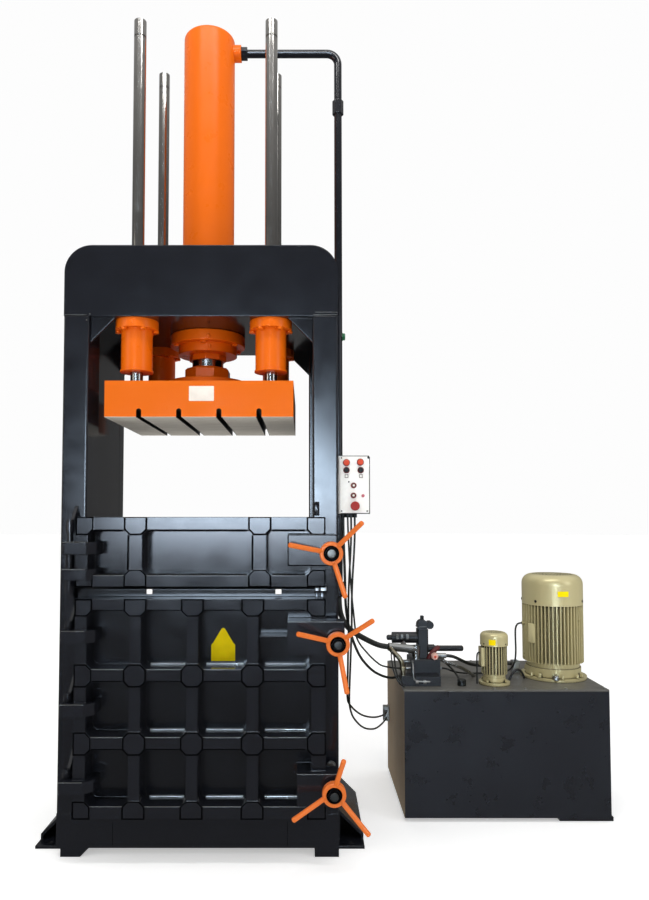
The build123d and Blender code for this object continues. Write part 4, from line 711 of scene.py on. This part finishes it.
# Bright bars of painted highlight along the upward edges of rails and arms.
edge_light_and_shade = [highlight_bar(a + 20, b - 20, rail_face, low, 1.3) for a, b in lower_gaps for low, _ in lower_rows]
edge_light_and_shade += [highlight_bar(386, 616, arm_face, 1010), highlight_bar(425, 594, arm_face, 398)]
edge_light_and_shade += [highlight_bar(-546, -450, hinge_face, z) for z in (360, 672, 970)]
skin("lower_edge_highlights", edge_light_and_shade, worn_steel, "lower_door_body")
edge_light_and_shade = [highlight_bar(-546, -450, hinge_face, z) for z in (1222, 1334)]
edge_light_and_shade += [highlight_bar(a + 20, b - 20, rail_face, 1196, 1.3) for a, b in upper_gaps]
skin("upper_edge_highlights", edge_light_and_shade, worn_steel, "upper_door_body")
# Black outlines of painted shade round the upper lock arm.
arm = lines([(386, 1364, 584, 1364), (387, 1240, 387, 1364), (386, 1240, 584, 1240)], arm_face, 4.0)
skin("upper_arm_shadow_lines", arm, painted_shade_black, "upper_door_body")
print("weld beads:", len(foot_bead_highlights), "rubbed edges:", len(edge_light_and_shade))

# %% [markdown]
# ## Bolts, lugs and joints of the frame
#
# The skirt under the doors is bolted on, the crown meets the columns in a thin joint, and small
# lugs and a nut sit beside the doors. The seams of skirt and crown are black lines of painted
# shade, and the bright lines and dots under the crown are painted highlights. A bolt head is a
# turned profile: a washer face, a rim and a shallow dome, which catches the light where a flat
# disc would not. Two blocks on feet stand on the lower door's top rail, where the upper door rests.

# %% Small pieces of the frame
column_face, sleeve_face, rail_top = -375, -368.5, 1098


def bolt(centre, side, radius, height, spin=0.0):
    """A round washer and a chamfered hexagonal head, turned by spin degrees."""
    washer = turned(centre, side, [(radius * 1.25, 0), (radius * 1.25, 1.2), (radius * 1.15, 1.6)])
    head = turned(centre, side, [(radius, 1.5), (radius, height * 0.85), (radius * 0.86, height)], 6, spin)
    return [washer, head]


skirt = [turned((x, column_face, z), "front", [(7, 0), (7, 1.5), (5.5, 4), (2.5, 5.5)])
         for x, z in ((-517, 93), (-415, 95), (437, 100), (547, 102), (-540, 181))]
skin("skirt_bolts", skirt, frame_enamel)
# Black lines of painted shade in the seams of skirt and crown.
seams = lines([(-360, 46, -360, 145), (381, 46, 381, 145)], column_face, 1.6)
seams += lines([(-598, 2319, -496, 2319), (492, 2319, 598, 2319)], column_face, 2.2)
skin("frame_joint_shade", seams, painted_shade_black)
# Bright lines and dots of painted highlight under the crown.
glints = lines([(-598, 2322, -500, 2322), (492, 2322.5, 598, 2322.5), (500, 2334, 598, 2334)], column_face, 1.6)
glints += [turned((x, column_face, z), "front", [(3, 0), (3, 1), (1.5, 2)], 12)
           for x, z in ((-486, 2326), (-500, 2299))]
skin("crown_weld_glints", glints, worn_steel)
plugs = bolt((6, -178, 2281), "front", 9, 7) + bolt((6, -139, 2243), "front", 7, 6)
plugs += [turned((x, sleeve_face, z), "front", [(7, -3), (7, 1), (5, 2), (1, 2)], 6)
          for x, z in ((-302, 2292), (302, 2280))]
skin("flange_plugs", plugs, orange_enamel)
lugs = [plate((x, column_face, z), "front", *size)
        for x, z, *size in ((507, 1474, 22, 60, 6, 2), (507, 1127, 17, 38, 8, 2), (536, 1127, 28, 38, 12, 3))]
skin("frame_lugs", lugs, frame_enamel)
print("skirt bolts:", len(skirt), "plugs:", len(plugs), "lugs:", len(lugs))

# %% Rest blocks, nut, test point and plates
feet = [plate((506, -455, rail_top), "top", 14, 30, 33, 2), plate((529, -455, rail_top), "top", 18, 30, 33, 2)]
skin("door_rest_feet", feet, frame_enamel, "lower_door_body")
stops = [plate((506, -455, rail_top + 32), "top", 16, 34, 14, 2),
         plate((533, -455, rail_top + 32), "top", 26, 34, 15, 3)]
skin("door_rest_blocks", stops, zinc_steel, "lower_door_body")
skin("keeper_nut", bolt((567.5, column_face, 381), "front", 16, 14, spin=10), worn_steel)
cap = turned((638, 0, 2322), "right", [(19, 0), (19, 4), (17, 5), (17, 13), (14, 15)], 20)
skin("pipe_test_point_cap", [cap], green_nylon)
collar = turned((632, 0, 2320), "right", [(20, 0), (20, 6.5), (18, 7.5)], 6)
skin("pipe_test_point_collar", [collar], dark_steel)
label = plate((1, -350, 1980), "front", 110, 66, 0.5, 3, 0.15)
skin("platen_label", [label], white_vinyl, "press_head")
house = [(56, 825), (158, 825), (158, 893), (150, 902), (114, 962), (107, 965), (100, 962), (64, 902),
         (56, 893)]
skin("plain_yellow_plate", [sheet(house, -390, -391.2)], yellow_vinyl, "lower_door_body")
print("rest blocks:", len(stops), "corners of the yellow plate:", len(house))

# %% [markdown]
# ## Handwheel hubs and control box
#
# Inside each hub a black ring of painted shade lies round the washer, and the stud's end stands in
# the nut. On the box there are a grey line of painted shade where its door closes, thin dark strips
# along the right, upper and lower edges, four small screws, two square marks under the selectors
# and a pale disc in each ring button. The disc rides on its button, and so moves in when the button
# is pressed.

# %% Hubs and control box
hub_face, nut_face, box_face, button_face = -579, -599, -340, -348
hubs = {"upper_handwheel": (562, 1291), "middle_handwheel": (588, 928), "lower_handwheel": (572, 336)}
ring = [(27, 0), (31.5, 0), (31.5, 5.5), (30.5, 6.2), (28, 6.2), (27, 5.5), (27, 0)]
for body, (x, z) in hubs.items():
    # A black ring of painted shade round the washer in each hub.
    skin(body + "_shade_ring", [turned((x, hub_face, z), "front", ring, 40)], painted_shade_black, body)
    stud = turned((x, nut_face, z), "front", [(17, 0), (17, 4), (15.5, 5.6), (6, 6.4)], 32)
    finish = worn_steel if body == "upper_handwheel" else dark_steel
    skin(body + "_stud_end", [stud], finish, body)

# A grey line of painted shade in the joint of the box's door.
skin("box_door_joint_shade", lines([(609, 1460, 609, 1702)], box_face, 1.0), grey_strip)
# Thin dark strips along the box's right, upper and lower edges.
dark_edge_strips = [plate((x, box_face, z), "front", *size)
        for x, z, *size in ((739, 1578, 3.5, 248, 1.0, 1, 0.3), (675, 1453.5, 130, 4, 1.0, 1, 0.3),
                            (672, 1705.5, 130, 3, 1.0, 1, 0.3), (734, 1699, 9, 11, 1.4, 4, 0.3))]
skin("box_edge_dark_strips", dark_edge_strips, dark_steel)
screws = [turned((x, box_face, z), "front", [(3.5, 0), (3.5, 1), (2.4, 1.8)], 16)
          for x, z in ((616, 1464), (728, 1464), (616, 1697), (648, 1592))]
skin("box_screws", screws, dark_steel)


def square(x, z, half):
    """The corners of a square in the plane of the box's front."""
    return [(x - half, z - half), (x + half, z - half), (x + half, z + half), (x - half, z + half)]


marks = [edging(square(x, 1617, 8), square(x, 1617, 5), box_face, 0.8) for x in (638, 701)]
skin("selector_marks", marks, brown_lens)
for body, x, z in (("upper_ring_button", 669, 1576), ("lower_ring_button", 668, 1532)):
    skin(body + "_disc", [turned((x, button_face, z), "front", [(5.0, 0), (5.0, 0.5), (4.2, 0.9)])],
         white_vinyl, body)
print("hubs:", len(hubs), "screws:", len(screws), "marks:", len(marks))

# %% [markdown]
# ## Motors and tank lid
#
# Places on a motor are given by compass angle round its own axis: -90 looks at the doors' side,
# 180 at the press. The labels follow the round cover. The cover lets air in through rings of holes:
# cutting them would cost thousands of faces, so they are black discs a hair above the metal,
# painted shade for the holes. Studs and a drain boss stand on the large motor's flange, and bolts
# hold the tank's lid round its edge.

# %% Motors
big, small = (1738.0, 252.0), (1389.0, 84.0)
big_cover_top, small_cover_top, flange_top = 1144, 872, 630


def around(centre, angle, radius, z):
    """The point at compass angle and radius from a motor's axis, at height z."""
    a = math.radians(angle)
    return (centre[0] + radius * math.cos(a), centre[1] + radius * math.sin(a), z)


skin("motor_cover_label", [wrapped(big, 150.4, -99, -78, 1040, 1067, 0.5)], yellow_vinyl)
skin("small_motor_label", [wrapped(small, 66.9, -126, -98, 815, 842, 0.4)], yellow_vinyl)
plate_angle = -151
nameplate = plate(around(big, plate_angle, 149.8, 850), plate_angle, 44, 98, 2.0, 3, 0.4)
rivet = [(2.6, -1), (2.6, 0.5), (1.5, 1.5)]
rivets = [turned(around(big, plate_angle + turn, 152.7, z), plate_angle, rivet, 12)
          for turn in (-6.2, 6.2) for z in (807, 893)]
skin("motor_nameplate", [nameplate] + rivets, plate_film)
vent, small_vent = [(3.2, -0.5), (3.2, 0.35), (2.9, 0.5)], [(1.8, -0.5), (1.8, 0.3), (1.6, 0.4)]
holes = [turned(around(big, 360 * k / n, r, big_cover_top), "top", vent, 12)
         for r, n in ((30, 10), (46, 16), (62, 22), (78, 28), (94, 34)) for k in range(n)]
holes += [turned(around(small, 360 * k / n, r, small_cover_top), "top", small_vent, 10)
          for r, n in ((14, 8), (24, 14), (34, 20)) for k in range(n)]
# Black discs of painted shade where the vent holes are.
skin("cover_vent_shade", holes, painted_shade_black)
screws = [turned(around(big, a, 150, 1012), a, [(7, -1), (7, 1), (5, 3), (1.5, 4)], 16)
          for a in (-141, -36, 166, 54)]
screws += [turned(around(small, a, 66.6, 818), a, [(4, -1), (4, 1), (2.5, 2)], 14)
           for a in (-150, -48, 60, 120)]
skin("cover_screws", screws, dark_steel)
studs = [turned(around(big, a, 153, flange_top), "top", [(6, 0), (6, 20), (4.5, 24)], 14)
         for a in (-151, -92, -60, 30, 90)]
skin("flange_studs", studs, motor_enamel)
boss = turned(around(big, -104.5, 153, flange_top), "top", [(15, 0), (15, 20), (12.5, 23)], 24)
skin("flange_drain_boss", [boss], zinc_steel)
print("vents:", len(holes), "cover screws:", len(screws), "studs:", len(studs))

# %% Tank lid and small leads
lid_top = 618
lid_spots = [(1360, -24), (1508, -24), (1700, -24), (1884, -24), (1884, 300), (1884, 618), (1400, 618),
             (945, 618), (945, 380)]
lid_bolts = [shape for x, y in lid_spots for shape in bolt((x, y, lid_top), "top", 7, 6)]
skin("lid_bolts", lid_bolts, zinc_steel)
rim = bead([(1120, -40, lid_top), (1500, -40, lid_top), (1900, -40, lid_top)], 1.6, 8, 0)
skin("lid_front_edge", [rim], lid_enamel)
lead = bead([(1304, 84, lid_top), (1304, 84, 700), (1304, 84, 765), (1316, 84, 772)], 4.0, 12)
skin("small_motor_lead", [lead], hose_rubber)
tube = bead([(1470, 120, 622), (1496, 128, 668), (1530, 146, 676), (1556, 176, 650), (1572, 200, 621)], 6)
skin("suction_tubes", [tube], valve_black)
glands = [turned((x, -300, 1436), "top", [(9.6, 0), (10.2, 1), (10.2, 16), (9.6, 17)], 6)
          for x in (625, 645, 660, 676)]
skin("cable_gland_nuts", glands, black_abs)
print("lid bolts:", len(lid_spots), "glands:", len(glands))

# %% [markdown]
# ## Fittings round the valve
#
# Round the valve block lie the ends of the hoses: a brass elbow, a bright bent tube with two
# hexagon nuts on the step, a dark red hose end and a pale tube that runs to the motor. The bright
# bent tube is a painted highlight along the block's lower edge. Each starts on the block or on a
# fitting and ends on something too, so that it also holds from the back.

# %% Fittings round the valve
elbow = [bead([(880, 100, 786), (888, 76, 776), (926, 60, 742), (936, 60, 700), (936, 60, lid_top)], 12, 16),
         turned((936, 60, lid_top), "top", [(19, 0), (19, 16), (17, 19)], 6),
         turned((936, 60, 690), "top", [(17, 0), (17, 14), (15, 16)], 6)]
skin("brass_elbow", elbow, brass)
strap = sheet([(939, 800), (955, 815), (1008, 739), (996, 725)], 166, 143)
skin("leaning_strap", [strap], grey_strip)
# The bent tube is a painted highlight along the block's lower edge.
edge_highlight_tube = [bead([(990, 117, 722), (984, 60, 724), (981, 27, 700), (981, 25.5, 660), (990, 25.5, 642),
               (1062, 25.5, 640)], 4.5, 12)]
edge_highlight_tube += [turned((x, 21, 640), "right", [(10, 0), (10, 12), (8.5, 13)], 6) for x in (992, 1030)]
skin("block_edge_highlight_tube", edge_highlight_tube, zinc_steel)
hose_end = bead([(1076, 150, 718), (1084, 148, 742), (1104, 152, 766), (1132, 172, 780)], 12, 14)
skin("red_hose_end", [hose_end], oxide_red)
seal = turned((1103, 118, 744), "front", [(18, -16), (18, 6), (15, 10), (6, 12)], 7)
skin("rose_seal", [seal], rose_seal)
core = turned((1103, 106, 744), "front", [(6, -1), (6, 1.5), (4, 2.5)], 16)
skin("red_seal_core", [core], red_abs)
pale_tube = [bead([(1132, 190, 727), (1168, 190, 702), (1203, 190, 692), (1260, 196, 668), (1300, 220, 640),
                   (1330, 240, lid_top)], 9, 14),
             turned((1137, 190, 724), "right", [(15, -8), (15, 22), (13, 24)], 6)]
skin("pale_bent_tube", pale_tube, zinc_steel)
thin = [bead([(1128, 258, 700), (1166, 252, 698), (1192, 180, 680), (1214, 108, 652),
              (1220, 82, lid_top)], 5, 12),
        bead([(884, 92, 776), (876, 46, 756), (884, 8, 690), (905, -4, 640), (934, 4, 620)], 3, 12),
        bead([(893, 73, 767), (900, 40, 672), (924, 20, 630), (955, 40, 620)], 4, 12)]
skin("thin_pilot_lines", thin, hose_rubber)
bands = [turned((1052, 190, z), "top", [(r, 0), (r, h * 0.8), (r - 1, h)], 32)
         for z, r, h in ((861, 30.5, 6), (882, 33.0, 4))]
skin("valve_head_bands", bands, worn_steel)
windows = [plate((x, 166, 834), "front", 12, 26, 8.0, 3, 0.8) for x in (922, 946, 974)]
skin("solenoid_windows", windows, worn_steel)
print("thin lines:", len(thin), "windows:", len(windows))

# %% [markdown]
# ## Floor
#
# The floor is a plain pale disc, wide enough to reach the horizon in every view. It glows a
# little, as a studio sweep does under its own lamps, and so meets the pale surround without a
# line. Rays that leave a glossy surface see only a dim floor, or the black paint would turn grey.

# %% Floor
def disc(name, radius, rings, spokes):
    """A flat disc as a polar grid: x = r cos t, y = r sin t, with r growing as its square."""
    r = radius * np.linspace(0, 1, rings + 1)[1:] ** 2
    t = np.linspace(0, 2 * np.pi, spokes, endpoint=False)
    grid = np.stack([np.outer(r, np.cos(t)), np.outer(r, np.sin(t)), np.zeros((rings, spokes))], axis=-1)
    points = np.vstack([[[0, 0, 0]], grid.reshape(-1, 3)])
    step = np.arange(spokes)
    ahead = (step + 1) % spokes
    fan = np.column_stack([np.zeros(spokes, int), 1 + step, 1 + ahead]).tolist()
    inner = 1 + np.arange(rings - 1)[:, None] * spokes
    quads = np.stack([inner + step, inner + spokes + step, inner + spokes + ahead, inner + ahead], axis=-1)
    mesh = bpy.data.meshes.new(name)
    mesh.from_pydata(points.tolist(), [], fan + quads.reshape(-1, 4).tolist())
    piece = bpy.data.objects.new(name, mesh)
    bpy.context.scene.collection.objects.link(piece)
    return piece


floor = disc("floor", 60.0, 12, 96)
floor_paint, tree = start_material("pale_studio_floor")
place = add(tree, "TexCoord").outputs["Object"]
cloud = add(tree, "TexNoise", {"Vector": place, "Scale": 0.7, "Detail": 2.0})
pale = add(tree, "Mix", {0: cloud.outputs["Fac"], 6: linear("#EFEFEE"), 7: linear("#F3F3F2")}, data_type="RGBA")
matt = add(tree, "BsdfPrincipled", {"Base Color": pale.outputs[2], "Roughness": 0.7, "Specular IOR Level": 0.2,
                                    "Emission Color": linear("#FFFFFF"), "Emission Strength": 0.42})
dim = add(tree, "Emission", {"Color": linear("#FFFFFF"), "Strength": 0.16})
glossy = add(tree, "LightPath").outputs["Is Glossy Ray"]
sweep = add(tree, "MixShader", {0: glossy, 1: matt.outputs["BSDF"], 2: dim.outputs[0]})
add(tree, "OutputMaterial", {"Surface": sweep.outputs[0]})
floor.data.materials.append(floor_paint)
print("floor:", len(floor.data.polygons), "faces")

# %% [markdown]
# ## Light
#
# Even light from all round would leave ribs and bolt heads flat. A narrow overhead strip draws the
# upper edges, and two tall side boxes model the cylinder and the rods. They are area lights, because
# a lamp of that shape shows in gloss paint as a clean bar, where a point lamp would be a dot.

# %% Light
def softbox(name, place, aim, width, height, power, colour):
    """A rectangular area light at place that faces aim."""
    data = bpy.data.lights.new(name, "AREA")
    data.shape = "RECTANGLE"
    data.size, data.size_y = width, height
    data.energy = power
    data.color = linear(colour)[:3]
    lamp = bpy.data.objects.new(name, data)
    forward = np.array(aim) - np.array(place)
    flat = math.hypot(forward[0], forward[1])
    lamp.location = place
    tilt, turn = math.atan2(flat, -forward[2]), math.atan2(forward[1], forward[0]) - math.pi / 2
    lamp.rotation_euler = (tilt, 0.0, turn)
    bpy.context.scene.collection.objects.link(lamp)
    return lamp


softbox("overhead", (0.3, -2.2, 5.6), (0.4, 0.0, 0.8), 3.4, 0.35, 84, "#FFFFFF")
softbox("left_strip", (-3.6, -2.6, 2.6), (0.0, 0.0, 1.4), 0.7, 3.0, 24, "#FFFBF4")
softbox("right_strip", (4.6, -3.0, 2.6), (0.6, 0.0, 1.0), 1.2, 2.6, 34, "#EEF3FB")
print("lights:", len(bpy.data.lights))

# %% [markdown]
# ## Surround
#
# Gloss black paint shows nothing but what it mirrors. A picture of a room could stand round the
# machine, but a few nodes do it too and stay easy to move. The world is split three ways by the kind
# of ray: the camera sees white paper, soft light comes evenly from all round, and glossy rays meet a
# drawn surround. That is white above and dark in front, with one bright panel level with the doors
# and a little to the left, whose pale blue runs down the right column and the upper door.

# %% Surround
panel_direction = (-0.092, -0.9957, -0.014)
panel_rim, panel_core = 0.979, 0.994
foot_power, head_power = 36.0, 37.0
surround = bpy.data.worlds.new("studio")
surround.use_nodes = True
surround.cycles.sampling_method = "NONE"
tree = surround.node_tree
tree.nodes.clear()
ray = add(tree, "TexCoord").outputs["Generated"]
path = add(tree, "LightPath")
height = add(tree, "SeparateXYZ", {"Vector": ray})
roof = add(tree, "MapRange", {"Value": height.outputs["Z"], "From Min": 0.34, "From Max": 0.8,
                              "To Min": 0.14, "To Max": 0.9}, interpolation_type="SMOOTHSTEP")
facing = add(tree, "VectorMath", {0: ray, 1: panel_direction}, operation="DOT_PRODUCT")
bright = add(tree, "MapRange", {"Value": facing.outputs["Value"], "From Min": panel_rim,
                                "From Max": panel_core}, interpolation_type="SMOOTHSTEP")
sky = add(tree, "MapRange", {"Value": height.outputs["Z"], "From Min": -0.1, "From Max": 0.03})
strong = add(tree, "MapRange", {"Value": sky.outputs["Result"], "To Min": foot_power, "To Max": head_power})
power = add(tree, "Math", {0: bright.outputs["Result"], 1: strong.outputs["Result"]}, operation="MULTIPLY")
tint = add(tree, "Mix", {0: sky.outputs["Result"], 6: linear("#B9AAA6"), 7: linear("#C4DAF0")},
            data_type="RGBA")
room = add(tree, "Background", {"Color": linear("#FCFCFC"), "Strength": roof.outputs["Result"]})
panel = add(tree, "Background", {"Color": tint.outputs[2], "Strength": power.outputs[0]})
mirrored = add(tree, "AddShader", {0: room.outputs[0], 1: panel.outputs[0]})
soft = add(tree, "Background", {"Color": linear("#FCFCFC"), "Strength": 0.72})
paper = add(tree, "Background", {"Color": linear("#FDFDFD"), "Strength": 1.0})
lit = add(tree, "MixShader", {0: path.outputs["Is Glossy Ray"], 1: soft.outputs[0], 2: mirrored.outputs[0]})
seen = add(tree, "MixShader", {0: path.outputs["Is Camera Ray"], 1: lit.outputs[0], 2: paper.outputs[0]})
add(tree, "OutputWorld", {"Surface": seen.outputs[0]})
bpy.context.scene.world = surround
bpy.context.scene.view_settings.view_transform = "Standard"
print("world nodes:", len(tree.nodes))
